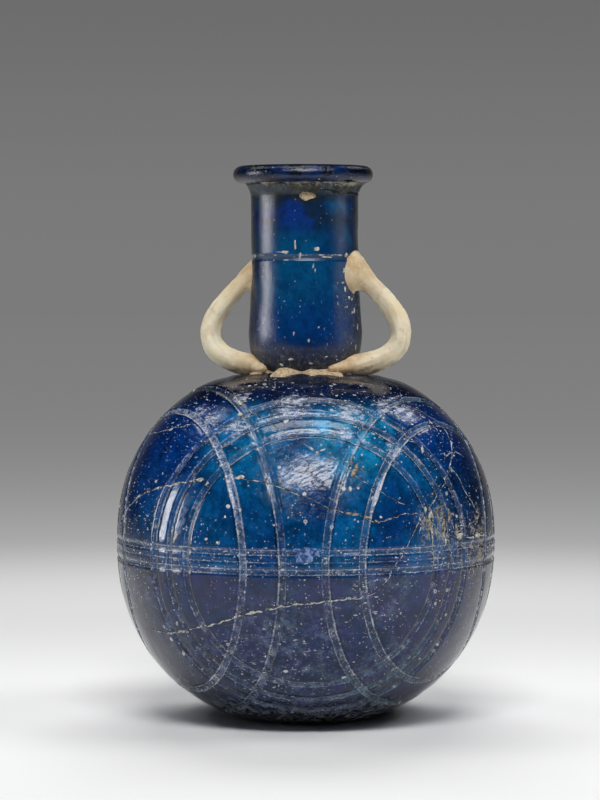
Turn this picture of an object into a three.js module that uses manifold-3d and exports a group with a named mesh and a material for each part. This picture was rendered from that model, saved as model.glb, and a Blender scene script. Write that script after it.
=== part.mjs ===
// Two-handled flask: a blown globular body with wheel-cut circles, a tubular neck with a
// folded rim, and two looped coil handles. Millimetres, +Z up, standing on z = 0.

import * as THREE from 'three';
import { mergeVertices } from 'three/addons/utils/BufferGeometryUtils.js';
import Module from 'manifold-3d';

const wasm = await Module();
wasm.setup();

// Body: a slightly squared globe, flattened underneath and on the shoulder
const bodyRadius = 47.4;
const shoulderRise = 44.7;
const bellyDrop = 47.0;
const bodyRoundness = 2.15;
const baseRadius = 18.2;
const shoulderFlatRadius = 18.4;
const bodyWall = 2.6;
const baseThickness = 3.6;
const shoulderThickness = 3.2;

// Neck: a tube that swells slightly low down and narrows to a throat on the shoulder
const neckLength = 46.4;
const neckRadius = 13.4;
const neckSwell = 0.8;
const neckSwellHeight = 9.5;
const neckWall = 2.4;
const throatStep = 3.0;
const seatWidth = 2.7;
const neckFlare = 1.2;
const neckFlareHeight = 3.0;
const neckLineHeight = 28.2;

// Rim: the lip folded out, up and in again
const rimOverhang = 4.05;
const rimRollRadius = 2.15;
const rimCreaseDepth = 0.7;

// Wheel-cut level lines: three round the body, just below its widest ring, and one on the neck
const bandWidth = 1.2;
const bandDepth = 0.4;
const bandSpacing = 2.3;
const bandDrop = 1.45;

// Wheel-cut circles: sets of two or three grooves about one middle, side by side round the
// body. Each line is given by the angle from the middle of its set to the groove.
const circleWidth = 1.8;
const circleDepth = 0.7;
const circleElevation = -2;
const tripleLines = [39.3, 46.0, 52.2];
const doubleLines = [41.1, 51.9];
const wideDoubleLines = [46.0, 57.6];
const circleSets = [
  { azimuth: 1.9, lines: tripleLines },
  { azimuth: 57.5, lines: doubleLines },
  { azimuth: 120, lines: doubleLines },
  { azimuth: 180, lines: doubleLines },
  { azimuth: -122, lines: doubleLines },
  { azimuth: -64.4, lines: wideDoubleLines },
];

// Handles: round coils, thick at the shoulder and thinner at the neck. Both ends are spread
// where the soft glass was pressed on, and the foot is drawn out along the neck to a point.
const rodFootRadius = 3.1;
const rodNeckRadius = 2.15;
const handleBendRise = 9.6;
const footRise = 1.6;
const footOffset = 2.0;
const pressDepth = 2.4;
const neckPadLength = 7.5;
const footPadHalfWidth = 5.2;
const footPadLength = 8.5;
const tailRadius = 0.9;
const tailOffset = 2.7;

// How far the handle's curve keeps its direction: shares of the way out from the neck, of the
// height above the bend and of the height below it
const leaveOut = 0.36;
const leaveDown = 0.21;
const bendAbove = 0.37;
const bendBelow = 0.55;
const arriveIn = 0.4;
const arriveUp = 0.1;

// The two handles differ a little, as made by hand. Azimuths are in degrees from the front.
const leftReach = 26.4;
const leftAttachRise = 24.1;
const leftPadHalfWidth = 4.8;
const leftPadHalfHeight = 4.2;
const rightReach = 26.9;
const rightAttachRise = 24.6;
const rightPadHalfWidth = 6.0;
const rightPadHalfHeight = 5.8;
const handleStyles = [
  {
    name: 'handle_left',
    colour: 0xe6d9bd,
    azimuths: { neck: -97, bend: -93, foot: -82, tail: -48 },
    reach: leftReach,
    attachRise: leftAttachRise,
    padHalfWidth: leftPadHalfWidth,
    padHalfHeight: leftPadHalfHeight,
  },
  {
    name: 'handle_right',
    colour: 0xe4d6b8,
    azimuths: { neck: 72, bend: 77, foot: 66, tail: 24 },
    reach: rightReach,
    attachRise: rightAttachRise,
    padHalfWidth: rightPadHalfWidth,
    padHalfHeight: rightPadHalfHeight,
  },
];

// Fits and fineness
const seatGap = 0.3;
const cutClearance = 0.6;
const bodySegments = 36;
const hollowSegments = 24;
const tubeSegments = 32;
const arcStep = 10;
const circleSteps = 24;
const rodSides = 12;
const rodSteps = 26;
const tailSteps = 6;
const weldTolerance = 1e-4;

const radians = THREE.MathUtils.degToRad;
const upwards = new THREE.Vector3(0, 0, 1);

// Superellipse: one coordinate of the outline from the other one
function heightAt(radius, halfWidth, halfHeight) {
  const share = 1 - Math.pow(radius / halfWidth, bodyRoundness);
  return halfHeight * Math.pow(Math.max(share, 0), 1 / bodyRoundness);
}

const bodyCentre = heightAt(baseRadius, bodyRadius, bellyDrop);
const seatHeight = bodyCentre + heightAt(shoulderFlatRadius, bodyRadius, shoulderRise);
const neckBore = neckRadius - neckWall;
const throatRadius = neckBore - throatStep;
const neckFootRadius = throatRadius + seatWidth;
const neckBottom = seatHeight + seatGap;
const neckTop = neckBottom + neckLength;
const rimBottom = neckTop + seatGap;
const rimCentre = neckRadius + rimOverhang - rimRollRadius;

// Turns a closed profile of [radius, height] points about the Z axis
function revolve(profile, segments) {
  const points = profile.map(([radius, height]) => new THREE.Vector2(radius, height));
  const closesOnItself = profile[0][0] > 0;
  if (closesOnItself) {
    points.push(points[0].clone());
  }
  return new THREE.LatheGeometry(points, segments).rotateX(Math.PI / 2);
}

// Merges shared vertices and drops the triangles that this makes empty
function weld(geometry) {
  const bare = geometry.clone();
  bare.deleteAttribute('normal');
  bare.deleteAttribute('uv');
  const welded = mergeVertices(bare, weldTolerance);
  const corners = welded.index.array;
  const kept = [];
  for (let i = 0; i < corners.length; i += 3) {
    const [a, b, c] = corners.slice(i, i + 3);
    if (a !== b && b !== c && c !== a) {
      kept.push(a, b, c);
    }
  }
  welded.setIndex(kept);
  return welded;
}

function solidOf(geometry) {
  const welded = weld(geometry);
  return new wasm.Manifold(new wasm.Mesh({
    numProp: 3,
    vertProperties: new Float32Array(welded.attributes.position.array),
    triVerts: new Uint32Array(welded.index.array),
  }));
}

function geometryOf(solid) {
  const mesh = solid.getMesh();
  const geometry = new THREE.BufferGeometry();
  geometry.setAttribute('position', new THREE.BufferAttribute(mesh.vertProperties, 3));
  geometry.setIndex(new THREE.BufferAttribute(mesh.triVerts, 1));
  geometry.computeVertexNormals();
  return geometry;
}

function glass(colour, opacity) {
  return new THREE.MeshStandardMaterial({
    color: colour,
    roughness: 0.25,
    metalness: 0,
    transparent: opacity < 1,
    opacity,
    flatShading: true,
  });
}

// Outline of the globe from one height up to another, offset inwards by a wall
function globeArc(fromHeight, toHeight, inset) {
  const radius = bodyRadius - inset;
  const rise = shoulderRise - inset;
  const drop = bellyDrop - inset;
  const angleOf = (height) => {
    const share = (height - bodyCentre) / (height > bodyCentre ? rise : drop);
    return Math.asin(Math.sign(share) * Math.pow(Math.abs(share), bodyRoundness / 2));
  };
  const start = angleOf(fromHeight);
  const end = angleOf(toHeight);
  const rows = Math.max(1, Math.round((end - start) / radians(arcStep)));
  const points = [];
  for (let i = 0; i <= rows; i++) {
    const angle = start + (end - start) * i / rows;
    const across = Math.pow(Math.cos(angle), 2 / bodyRoundness);
    const up = Math.sign(angle) * Math.pow(Math.abs(Math.sin(angle)), 2 / bodyRoundness);
    points.push([radius * across, bodyCentre + up * (up > 0 ? rise : drop)]);
  }
  return points;
}

function globeRadius(height) {
  const share = Math.abs(height - bodyCentre) / (height > bodyCentre ? shoulderRise : bellyDrop);
  return bodyRadius * Math.pow(1 - Math.pow(share, bodyRoundness), 1 / bodyRoundness);
}

// Outside of the body, up its side from the base, with the band's lines cut into it
function bodyOutline(grow) {
  const band = bodyCentre - bandDrop;
  const lines = [
    { height: band - bandSpacing, width: bandWidth, depth: bandDepth },
    { height: band, width: bandWidth / 2, depth: bandDepth / 2 },
    { height: band + bandSpacing, width: bandWidth, depth: bandDepth },
  ];
  const points = [[0, -grow]];
  let height = 0;
  for (const line of lines) {
    points.push(...globeArc(height, line.height - line.width / 2, -grow));
    points.push([globeRadius(line.height) - line.depth + grow, line.height]);
    height = line.height + line.width / 2;
  }
  points.push(...globeArc(height, seatHeight, -grow));
  points.push([0, seatHeight + grow]);
  return points;
}

function bodyHollow() {
  const ceiling = seatHeight - shoulderThickness;
  return [
    [0, baseThickness],
    ...globeArc(baseThickness, ceiling, bodyWall),
    [throatRadius + shoulderThickness, ceiling],
    [throatRadius, ceiling + shoulderThickness / 2],
    [throatRadius, seatHeight + cutClearance],
    [0, seatHeight + cutClearance],
  ];
}

// The point of the globe's surface that lies in a direction from the body's centre
function surfacePoint(direction) {
  const across = Math.hypot(direction.x, direction.y) / bodyRadius;
  const up = Math.abs(direction.z) / (direction.z > 0 ? shoulderRise : bellyDrop);
  const sum = Math.pow(across, bodyRoundness) + Math.pow(up, bodyRoundness);
  const point = direction.clone().multiplyScalar(Math.pow(sum, -1 / bodyRoundness));
  point.z += bodyCentre;
  return point;
}

// The direction at an angle from a middle direction, on one of its sides
function directionAside(middle, turn, angle) {
  const side = new THREE.Vector3(0, 0, 1).cross(middle).normalize();
  side.applyAxisAngle(middle, turn);
  return middle.clone().multiplyScalar(Math.cos(angle)).addScaledVector(side, Math.sin(angle));
}

// A closed ring of V-shaped section that follows one circle of the globe
function circleCutter(azimuth, line) {
  const level = Math.cos(radians(circleElevation));
  const middle = around(azimuth, level, Math.sin(radians(circleElevation)));
  const halfWidth = circleWidth / 2 * (circleDepth + cutClearance) / circleDepth;
  const angle = radians(line);
  const beside = radians(1);
  const positions = [];
  for (let i = 0; i < circleSteps; i++) {
    const turn = 2 * Math.PI * i / circleSteps;
    const point = surfacePoint(directionAside(middle, turn, angle));
    const inner = surfacePoint(directionAside(middle, turn, angle - beside));
    const outer = surfacePoint(directionAside(middle, turn, angle + beside));
    const across = outer.sub(inner).normalize();
    const along = new THREE.Vector3().crossVectors(across, middle).normalize();
    const normal = new THREE.Vector3().crossVectors(along, across).normalize();
    const corners = [
      point.clone().addScaledVector(across, -halfWidth).addScaledVector(normal, cutClearance),
      point.clone().addScaledVector(normal, -circleDepth),
      point.clone().addScaledVector(across, halfWidth).addScaledVector(normal, cutClearance),
    ];
    corners.forEach((corner) => positions.push(corner.x, corner.y, corner.z));
  }
  return closedRing(positions, positions.length / 3 / circleSteps);
}

// Joins sections of equal point counts, laid one after another round a closed path
function closedRing(positions, sectionPoints) {
  const total = positions.length / 3;
  const index = [];
  for (let here = 0; here < total; here += sectionPoints) {
    const next = (here + sectionPoints) % total;
    for (let j = 0; j < sectionPoints; j++) {
      const k = (j + 1) % sectionPoints;
      index.push(here + j, next + j, here + k);
      index.push(here + k, next + j, next + k);
    }
  }
  const geometry = new THREE.BufferGeometry();
  geometry.setAttribute('position', new THREE.Float32BufferAttribute(positions, 3));
  geometry.setIndex(index);
  return geometry;
}

function makeBody() {
  let solid = solidOf(revolve(bodyOutline(0), bodySegments));
  solid = solid.subtract(solidOf(revolve(bodyHollow(), hollowSegments)));
  for (const set of circleSets) {
    for (const line of set.lines) {
      solid = solid.subtract(solidOf(circleCutter(set.azimuth, line)));
    }
  }
  return solid;
}

// Outside of the neck: rounded foot, slight swell, then straight up to the cut line
function neckOutline(grow) {
  const swell = neckRadius + neckSwell;
  const points = [[neckFootRadius, neckBottom - grow]];
  const footSteps = 6;
  for (let i = 0; i <= footSteps; i++) {
    const angle = Math.PI / 2 * i / footSteps;
    points.push([
      neckFootRadius + (swell - neckFootRadius) * Math.sin(angle) + grow,
      neckBottom + neckSwellHeight * (1 - Math.cos(angle)),
    ]);
  }
  const middle = (neckSwellHeight + neckLineHeight) / 2;
  points.push([neckRadius + neckSwell / 3 + grow, neckBottom + middle]);
  points.push([neckRadius + grow, neckBottom + neckLineHeight - bandWidth]);
  return points;
}

function neckProfile() {
  const line = neckBottom + neckLineHeight;
  return [
    ...neckOutline(0),
    [neckRadius, line - bandWidth / 2],
    [neckRadius - bandDepth, line],
    [neckRadius, line + bandWidth / 2],
    [neckRadius, neckTop - neckFlareHeight],
    [neckRadius + neckFlare / 3, neckTop - neckFlareHeight / 3],
    [neckRadius + neckFlare, neckTop],
    [neckBore, neckTop],
    [neckBore, neckBottom + neckSwellHeight],
    [neckBore - throatStep / 4, neckBottom + neckSwellHeight / 2],
    [throatRadius, neckBottom + neckSwellHeight / 6],
    [throatRadius, neckBottom],
  ];
}

// The solid space of the neck and its clearance, up past the handles, which it trims
function neckCutter() {
  const reach = neckTop;
  return [
    [0, neckBottom - seatGap],
    ...neckOutline(seatGap),
    [neckRadius + seatGap, reach],
    [0, reach],
  ];
}

// Folded rim: a round roll outside, a shallow crease, and the lip of the bore
function rimProfile() {
  const rollHeight = rimBottom + rimRollRadius;
  const points = [[neckBore, rimBottom]];
  const rollSteps = 8;
  for (let i = 0; i <= rollSteps; i++) {
    const angle = -Math.PI / 2 + Math.PI * i / rollSteps;
    points.push([
      rimCentre + rimRollRadius * Math.cos(angle),
      rollHeight + rimRollRadius * Math.sin(angle),
    ]);
  }
  const creaseRadius = (rimCentre + neckBore) / 2;
  const lipHeight = rollHeight + rimRollRadius - rimCreaseDepth / 2;
  points.push([creaseRadius, lipHeight - rimCreaseDepth]);
  points.push([creaseRadius - rimCreaseDepth, lipHeight]);
  points.push([neckBore + rimCreaseDepth / 2, lipHeight]);
  points.push([neckBore, lipHeight - rimCreaseDepth]);
  return points;
}

// A point given by its azimuth from the front, its distance from the axis and its height
function around(azimuth, radius, height) {
  return new THREE.Vector3(
    radius * Math.sin(radians(azimuth)),
    -radius * Math.cos(radians(azimuth)),
    height,
  );
}

// Centre line of a handle in the plane of its loop: out and down from the neck, round the
// bend, and back in along the shoulder to the foot of the neck. Both ends run on inwards.
function loopLine(style) {
  const bend = style.reach - (rodFootRadius + rodNeckRadius) / 2;
  const span = bend - neckRadius;
  const drop = style.attachRise - handleBendRise;
  const fall = handleBendRise - footRise;
  const foot = neckFootRadius + footOffset;
  const upper = new THREE.CubicBezierCurve(
    new THREE.Vector2(neckRadius, style.attachRise),
    new THREE.Vector2(neckRadius + span * leaveOut, style.attachRise - drop * leaveDown),
    new THREE.Vector2(bend, handleBendRise + drop * bendAbove),
    new THREE.Vector2(bend, handleBendRise),
  );
  const lower = new THREE.CubicBezierCurve(
    new THREE.Vector2(bend, handleBendRise),
    new THREE.Vector2(bend, handleBendRise - fall * bendBelow),
    new THREE.Vector2(bend - span * arriveIn, footRise + fall * arriveUp),
    new THREE.Vector2(foot, footRise),
  );
  const half = rodSteps / 2;
  return [
    new THREE.Vector2(neckRadius - pressDepth, style.attachRise),
    ...upper.getPoints(half).slice(0, -1),
    ...lower.getPoints(half),
    new THREE.Vector2(foot - pressDepth, footRise),
  ];
}

// Share of an end's spread that is left at a distance from that end
function spreadLeft(distance, length) {
  const left = Math.min(Math.max(1 - distance / length, 0), 1);
  return left * left;
}

// Rings of a handle's coil: the loop's line turned about the axis as it goes. Each ring has
// its middle and two half axes, one sideways and one across the loop.
function coilRings(style) {
  const line = loopLine(style);
  const { neck, bend, foot } = style.azimuths;
  const turns = new THREE.QuadraticBezierCurve(
    new THREE.Vector2(neck, 0),
    new THREE.Vector2(2 * bend - (neck + foot) / 2, 0),
    new THREE.Vector2(foot, 0),
  );
  const last = line.length - 1;
  const azimuths = line.map((point, i) => turns.getPoint(i / last).x);
  const middles = line.map((point, i) => around(azimuths[i], point.x, seatHeight + point.y));
  const travelled = [0];
  for (let i = 1; i <= last; i++) {
    travelled.push(travelled[i - 1] + middles[i].distanceTo(middles[i - 1]));
  }
  const length = travelled[last];
  return middles.map((middle, i) => {
    const ahead = middles[Math.min(i + 1, last)];
    const behind = middles[Math.max(i - 1, 0)];
    const along = ahead.clone().sub(behind).normalize();
    const side = around(azimuths[i] + 90, 1, 0);
    side.addScaledVector(along, -side.dot(along)).normalize();
    const fromNeck = travelled[i] - pressDepth;
    const fromFoot = length - travelled[i] - pressDepth;
    const atNeck = spreadLeft(fromNeck, neckPadLength);
    const atFoot = spreadLeft(fromFoot, footPadLength);
    const round = rodNeckRadius + (rodFootRadius - rodNeckRadius) * travelled[i] / length;
    const over = along.clone().cross(side).lerp(upwards, atNeck).normalize();
    const sideways = round + (style.padHalfWidth - round) * atNeck
      + (footPadHalfWidth - round) * atFoot;
    const across = round + (style.padHalfHeight - round) * atNeck;
    return {
      middle,
      side: side.multiplyScalar(sideways),
      over: over.multiplyScalar(across),
    };
  });
}

// Rings of the tail that a handle's foot is drawn out to, round the foot of the neck
function tailRings(style) {
  const rings = [];
  const { foot, tail } = style.azimuths;
  for (let i = 0; i <= tailSteps; i++) {
    const share = i / tailSteps;
    const azimuth = foot + (tail - foot) * share;
    const radius = rodFootRadius + (tailRadius - rodFootRadius) * share;
    const offset = footOffset + (tailOffset - footOffset) * share;
    const rise = footRise + (tailRadius - footRise) * share;
    rings.push({
      middle: around(azimuth, neckFootRadius + offset, seatHeight + rise),
      side: around(azimuth, radius, 0),
      over: upwards.clone().multiplyScalar(foot > tail ? radius : -radius),
    });
  }
  return rings;
}

// A closed skin over a row of rings
function skin(rings) {
  const positions = [];
  const index = [];
  rings.forEach((ring, i) => {
    for (let j = 0; j < rodSides; j++) {
      const turn = 2 * Math.PI * j / rodSides;
      const point = ring.middle.clone()
        .addScaledVector(ring.side, Math.cos(turn))
        .addScaledVector(ring.over, Math.sin(turn));
      positions.push(point.x, point.y, point.z);
      const next = (j + 1) % rodSides;
      if (i < rings.length - 1) {
        const here = i * rodSides;
        const there = here + rodSides;
        index.push(here + j, here + next, there + j);
        index.push(here + next, there + next, there + j);
      }
    }
  });
  const last = (rings.length - 1) * rodSides;
  for (let j = 1; j < rodSides - 1; j++) {
    index.push(0, j + 1, j);
    index.push(last, last + j, last + j + 1);
  }
  const geometry = new THREE.BufferGeometry();
  geometry.setAttribute('position', new THREE.Float32BufferAttribute(positions, 3));
  geometry.setIndex(index);
  return solidOf(geometry);
}

function makeHandle(style, trim) {
  const coil = skin(coilRings(style));
  const tail = skin(tailRings(style));
  return coil.add(tail).subtract(trim);
}

function addMesh(group, name, geometry, material) {
  const mesh = new THREE.Mesh(geometry, material);
  mesh.name = name;
  group.add(mesh);
}

const blue = glass(0x1d4f96, 0.85);
const deepBlue = glass(0x0d4686, 0.85);
const trim = solidOf(revolve(neckCutter(), tubeSegments))
  .add(solidOf(revolve(bodyOutline(seatGap), bodySegments)));

const flask = new THREE.Group();
addMesh(flask, 'body', geometryOf(makeBody()), blue);
addMesh(flask, 'neck', weld(revolve(neckProfile(), tubeSegments)), deepBlue);
addMesh(flask, 'rim', weld(revolve(rimProfile(), tubeSegments)), blue.clone());
for (const style of handleStyles) {
  addMesh(flask, style.name, geometryOf(makeHandle(style, trim)), glass(style.colour, 1));
}

export default flask;
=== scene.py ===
"""Look of the two-handled blue glass flask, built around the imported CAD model. Metres, +Z up."""

import functools
import math
import operator

import bmesh
import bpy
import numpy as np
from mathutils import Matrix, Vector


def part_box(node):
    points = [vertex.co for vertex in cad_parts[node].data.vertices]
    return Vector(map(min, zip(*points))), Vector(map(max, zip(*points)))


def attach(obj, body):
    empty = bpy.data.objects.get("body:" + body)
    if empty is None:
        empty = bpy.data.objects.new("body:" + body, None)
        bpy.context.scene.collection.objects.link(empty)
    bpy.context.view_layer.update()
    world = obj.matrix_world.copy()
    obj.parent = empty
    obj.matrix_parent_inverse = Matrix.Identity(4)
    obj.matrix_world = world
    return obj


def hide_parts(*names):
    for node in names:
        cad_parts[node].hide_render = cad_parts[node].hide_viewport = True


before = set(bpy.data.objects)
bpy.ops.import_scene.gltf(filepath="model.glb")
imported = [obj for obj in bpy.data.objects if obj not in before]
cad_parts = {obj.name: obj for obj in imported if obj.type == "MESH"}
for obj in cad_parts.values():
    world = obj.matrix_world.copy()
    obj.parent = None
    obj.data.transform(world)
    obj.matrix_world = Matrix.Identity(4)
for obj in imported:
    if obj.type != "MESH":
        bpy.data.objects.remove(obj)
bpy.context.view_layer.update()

MM = 0.001

# Sizes read from the frame
BODY_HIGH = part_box("body")[1]
NECK_LOW, NECK_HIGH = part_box("neck")
RIM_LOW, RIM_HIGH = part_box("rim")
BODY_RADIUS = BODY_HIGH.x
SEAT = BODY_HIGH.z
NECK_FOOT = NECK_LOW.z
NECK_TOP = NECK_HIGH.z
RIM_RADIUS = RIM_HIGH.x
RIM_FOOT = RIM_LOW.z
RIM_TOP = RIM_HIGH.z

# Body: a squared globe, flat underneath and on the shoulder
ROUNDNESS = 2.15
SHOULDER_RISE = 44.7 * MM
BELLY_DROP = 47.0 * MM
BASE_RADIUS = 18.2 * MM
SHOULDER_FLAT = 18.4 * MM
SHOULDER_SAG = 1.0 * MM
SAG_SPREAD = 4.5 * MM
BODY_WALL = 2.6 * MM
BASE_THICKNESS = 3.6 * MM
SHOULDER_THICKNESS = 3.2 * MM
THROAT_RADIUS = 8.0 * MM

# Elevations in degrees: the top of the hollow's wall, and the height of the zone above the base
# in which the cuts fade out
HOLLOW_TOP = 57
CUT_FADE = 3

# Rows of the sagging shoulder inside its edge: shares of its radius and of its sag
SHOULDER_STEPS = ((0.9, 0.7), (0.8, 0.25), (0.7, 0.0))

# Neck: swells low down, and is straight from there to the folded rim
NECK_RADIUS = 13.4 * MM
NECK_WALL = 2.4 * MM
NECK_FOOT_RADIUS = 10.7 * MM
NECK_SWELL = 0.8 * MM
NECK_SWELL_RISE = 9.5 * MM
NECK_LINE_RISE = 28.2 * MM
NECK_FLARE = 1.2 * MM
NECK_FLARE_HEIGHT = 3.0 * MM
ROLL_RADIUS = 2.15 * MM
LIP_DROP = 0.35 * MM
CREASE_DEPTH = 0.55 * MM
CREASE_WIDTH = 0.5 * MM
NECK_LEAN = 0.3 * MM
RIM_LEAN = 0.65 * MM

# Wheel-cut grooves. A circle set has its middle at an azimuth from the front, in degrees, and
# its lines lie at these angles from that middle, seen from the body's centre.
CIRCLE_ELEVATION = -2.0
CIRCLE_SETS = (
    (1.9, (39.3, 46.0, 52.2)),
    (57.5, (41.1, 51.9)),
    (120.0, (41.1, 51.9)),
    (180.0, (41.1, 51.9)),
    (-122.0, (41.1, 51.9)),
    (-64.4, (46.0, 57.6)),
)
CIRCLE_WIDTH = 1.8 * MM
CIRCLE_DEPTH = 0.55 * MM
BAND_DROP = 1.45 * MM
BAND_SPACING = 2.3 * MM
BAND_WIDTH = 1.2 * MM
BAND_DEPTH = 0.4 * MM


def superellipse(radius, half_width, half_height):
    """The height of the body's outline at a radius."""
    share = 1 - (radius / half_width) ** ROUNDNESS
    return half_height * max(share, 0.0) ** (1 / ROUNDNESS)


BODY_CENTRE = superellipse(BASE_RADIUS, BODY_RADIUS, BELLY_DROP)
BAND_HEIGHT = BODY_CENTRE - BAND_DROP
UP = np.array([0.0, 0.0, 1.0])
LEVEL = np.array([1.0, 1.0, 0.0])
CENTRE = UP * BODY_CENTRE


def direction(azimuth, elevation):
    """The unit vector at an azimuth from the front and an elevation, in degrees."""
    a, e = np.radians(azimuth), np.radians(elevation)
    return np.stack([np.cos(e) * np.sin(a), -np.cos(e) * np.cos(a), np.sin(e) + 0 * a], -1)


def body_point(towards):
    """The points of the body's smooth outside that lie in these directions from its centre."""
    across = np.hypot(towards[..., 0], towards[..., 1]) / BODY_RADIUS
    half = np.where(towards[..., 2] > 0, SHOULDER_RISE, BELLY_DROP)
    up = np.abs(towards[..., 2]) / half
    reach = (across**ROUNDNESS + up**ROUNDNESS) ** (-1 / ROUNDNESS)
    return towards * reach[..., None] + CENTRE


# Meshes

def waves(points, size, seed, count=14):
    """A smooth random field from -1 to 1 over points, with lumps of about that size."""
    rng = np.random.default_rng(seed)
    total = np.zeros(points.shape[:-1])
    for _ in range(count):
        way = rng.normal(size=3)
        way *= rng.uniform(0.6, 1.4) * 2 * math.pi / (size * np.linalg.norm(way))
        total += np.sin(points @ way + rng.uniform(0, 2 * math.pi))
    return total / math.sqrt(count)


def ring_grid(profile, segments):
    """Points of a profile of (radius, height) rows turned about the Z axis."""
    turn = np.arange(segments) * 2 * math.pi / segments
    radius = profile[:, 0][:, None]
    height = np.repeat(profile[:, 1][:, None], segments, axis=1)
    return np.stack([radius * np.sin(turn), -radius * np.cos(turn), height], -1)


def outward(profile):
    """Unit normals of a profile's rows, in the (radius, height) plane, to the right of its way up."""
    along = np.gradient(profile, axis=0)
    normal = np.stack([along[:, 1], -along[:, 0]], -1)
    return normal / np.linalg.norm(normal, axis=1)[:, None]


def make_object(name, points, faces, material, body="root", smooth=True):
    mesh = bpy.data.meshes.new(name)
    mesh.from_pydata([tuple(p) for p in points], [], faces)
    shell = bmesh.new()
    shell.from_mesh(mesh)
    bmesh.ops.recalc_face_normals(shell, faces=shell.faces)
    shell.to_mesh(mesh)
    shell.free()
    mesh.polygons.foreach_set("use_smooth", [smooth] * len(mesh.polygons))
    mesh.materials.append(material)
    piece = bpy.data.objects.new(name, mesh)
    bpy.context.scene.collection.objects.link(piece)
    if body:
        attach(piece, body)
    return piece


def grid_faces(rows, columns, wrap_rows=False):
    """Quads of a grid whose columns close on themselves, and whose rows may."""
    row = np.arange(rows if wrap_rows else rows - 1)
    here = (row * columns)[:, None]
    there = ((row + 1) % rows * columns)[:, None]
    column = np.arange(columns)
    beside = (column + 1) % columns
    quads = np.stack([here + column, here + beside, there + beside, there + column], -1)
    return quads.reshape(-1, 4).tolist()


def capped_faces(rows, columns):
    """The same with its first and last row filled."""
    first, last = range(columns), range((rows - 1) * columns, rows * columns)
    return [*grid_faces(rows, columns), list(first)[::-1], list(last)]


def merged(parts):
    """Points and faces of separate closed meshes as one."""
    points, faces, offset = [], [], 0
    for part_points, part_faces in parts:
        points.append(part_points)
        faces.extend([[i + offset for i in face] for face in part_faces])
        offset += len(part_points)
    return np.concatenate(points), faces


def unit(vectors):
    return vectors / np.linalg.norm(vectors, axis=-1)[..., None]


def distances(points):
    """How far along a chain of points each of them lies."""
    return np.concatenate([[0], np.cumsum(np.linalg.norm(np.diff(points, axis=0), axis=1))])


# Shader nodes

class Field:
    """The output of a node, which can be added, subtracted and multiplied."""

    def __init__(self, nodes, socket):
        self.nodes, self.socket = nodes, socket

    def __add__(self, other):
        return self.nodes.math("ADD", self, other)

    def __sub__(self, other):
        return self.nodes.math("SUBTRACT", self, other)

    def __rsub__(self, other):
        return self.nodes.math("SUBTRACT", other, self)

    def __mul__(self, other):
        return self.nodes.math("MULTIPLY", self, other)

    def __abs__(self):
        return self.nodes.math("ABSOLUTE", self)


class Nodes:
    """A node tree, and short ways to add nodes to it."""

    def __init__(self, tree):
        self.tree = tree

    def feed(self, socket, value):
        """Links a socket to a field, or sets it to a plain value."""
        if isinstance(value, Field):
            self.tree.links.new(value.socket, socket)
        else:
            socket.default_value = (*value, 1) if socket.type == "RGBA" else value

    def node(self, kind, inputs=(), output=0, **settings):
        """Adds a node, feeds its inputs, and gives one of its outputs."""
        node = self.tree.nodes.new("ShaderNode" + kind)
        for key, value in settings.items():
            setattr(node, key, value)
        for key, value in dict(inputs).items():
            self.feed(node.inputs[key], value)
        return Field(self, node.outputs[output])

    def math(self, operation, *values):
        return self.node("Math", enumerate(values), operation=operation)

    def vector(self, operation, *values):
        output = "Value" if operation in ("DOT_PRODUCT", "LENGTH") else "Vector"
        return self.node("VectorMath", enumerate(values), output, operation=operation)

    def most(self, *values):
        return functools.reduce(lambda first, second: self.math("MAXIMUM", first, second), values)

    def ramp(self, value, start, end):
        """0 up to start and 1 from end on, smoothly; start may be above end."""
        inputs = {"Value": value, "From Min": min(start, end), "From Max": max(start, end),
                  "To Min": float(start > end), "To Max": float(start < end)}
        return self.node("MapRange", inputs, "Result", interpolation_type="SMOOTHSTEP")

    def line(self, value, middle, half):
        """1 where a value is near a middle one, falling to 0 at half a width from it."""
        return self.ramp(abs(value - middle), half, half * 0.3)

    def mix(self, share, first, second):
        """A number between two others."""
        return self.node("Mix", {0: share, 2: first, 3: second}, data_type="FLOAT")

    def blend(self, share, first, second):
        """A colour between two others."""
        return self.node("Mix", {0: share, 6: first, 7: second}, 2, data_type="RGBA")


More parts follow.
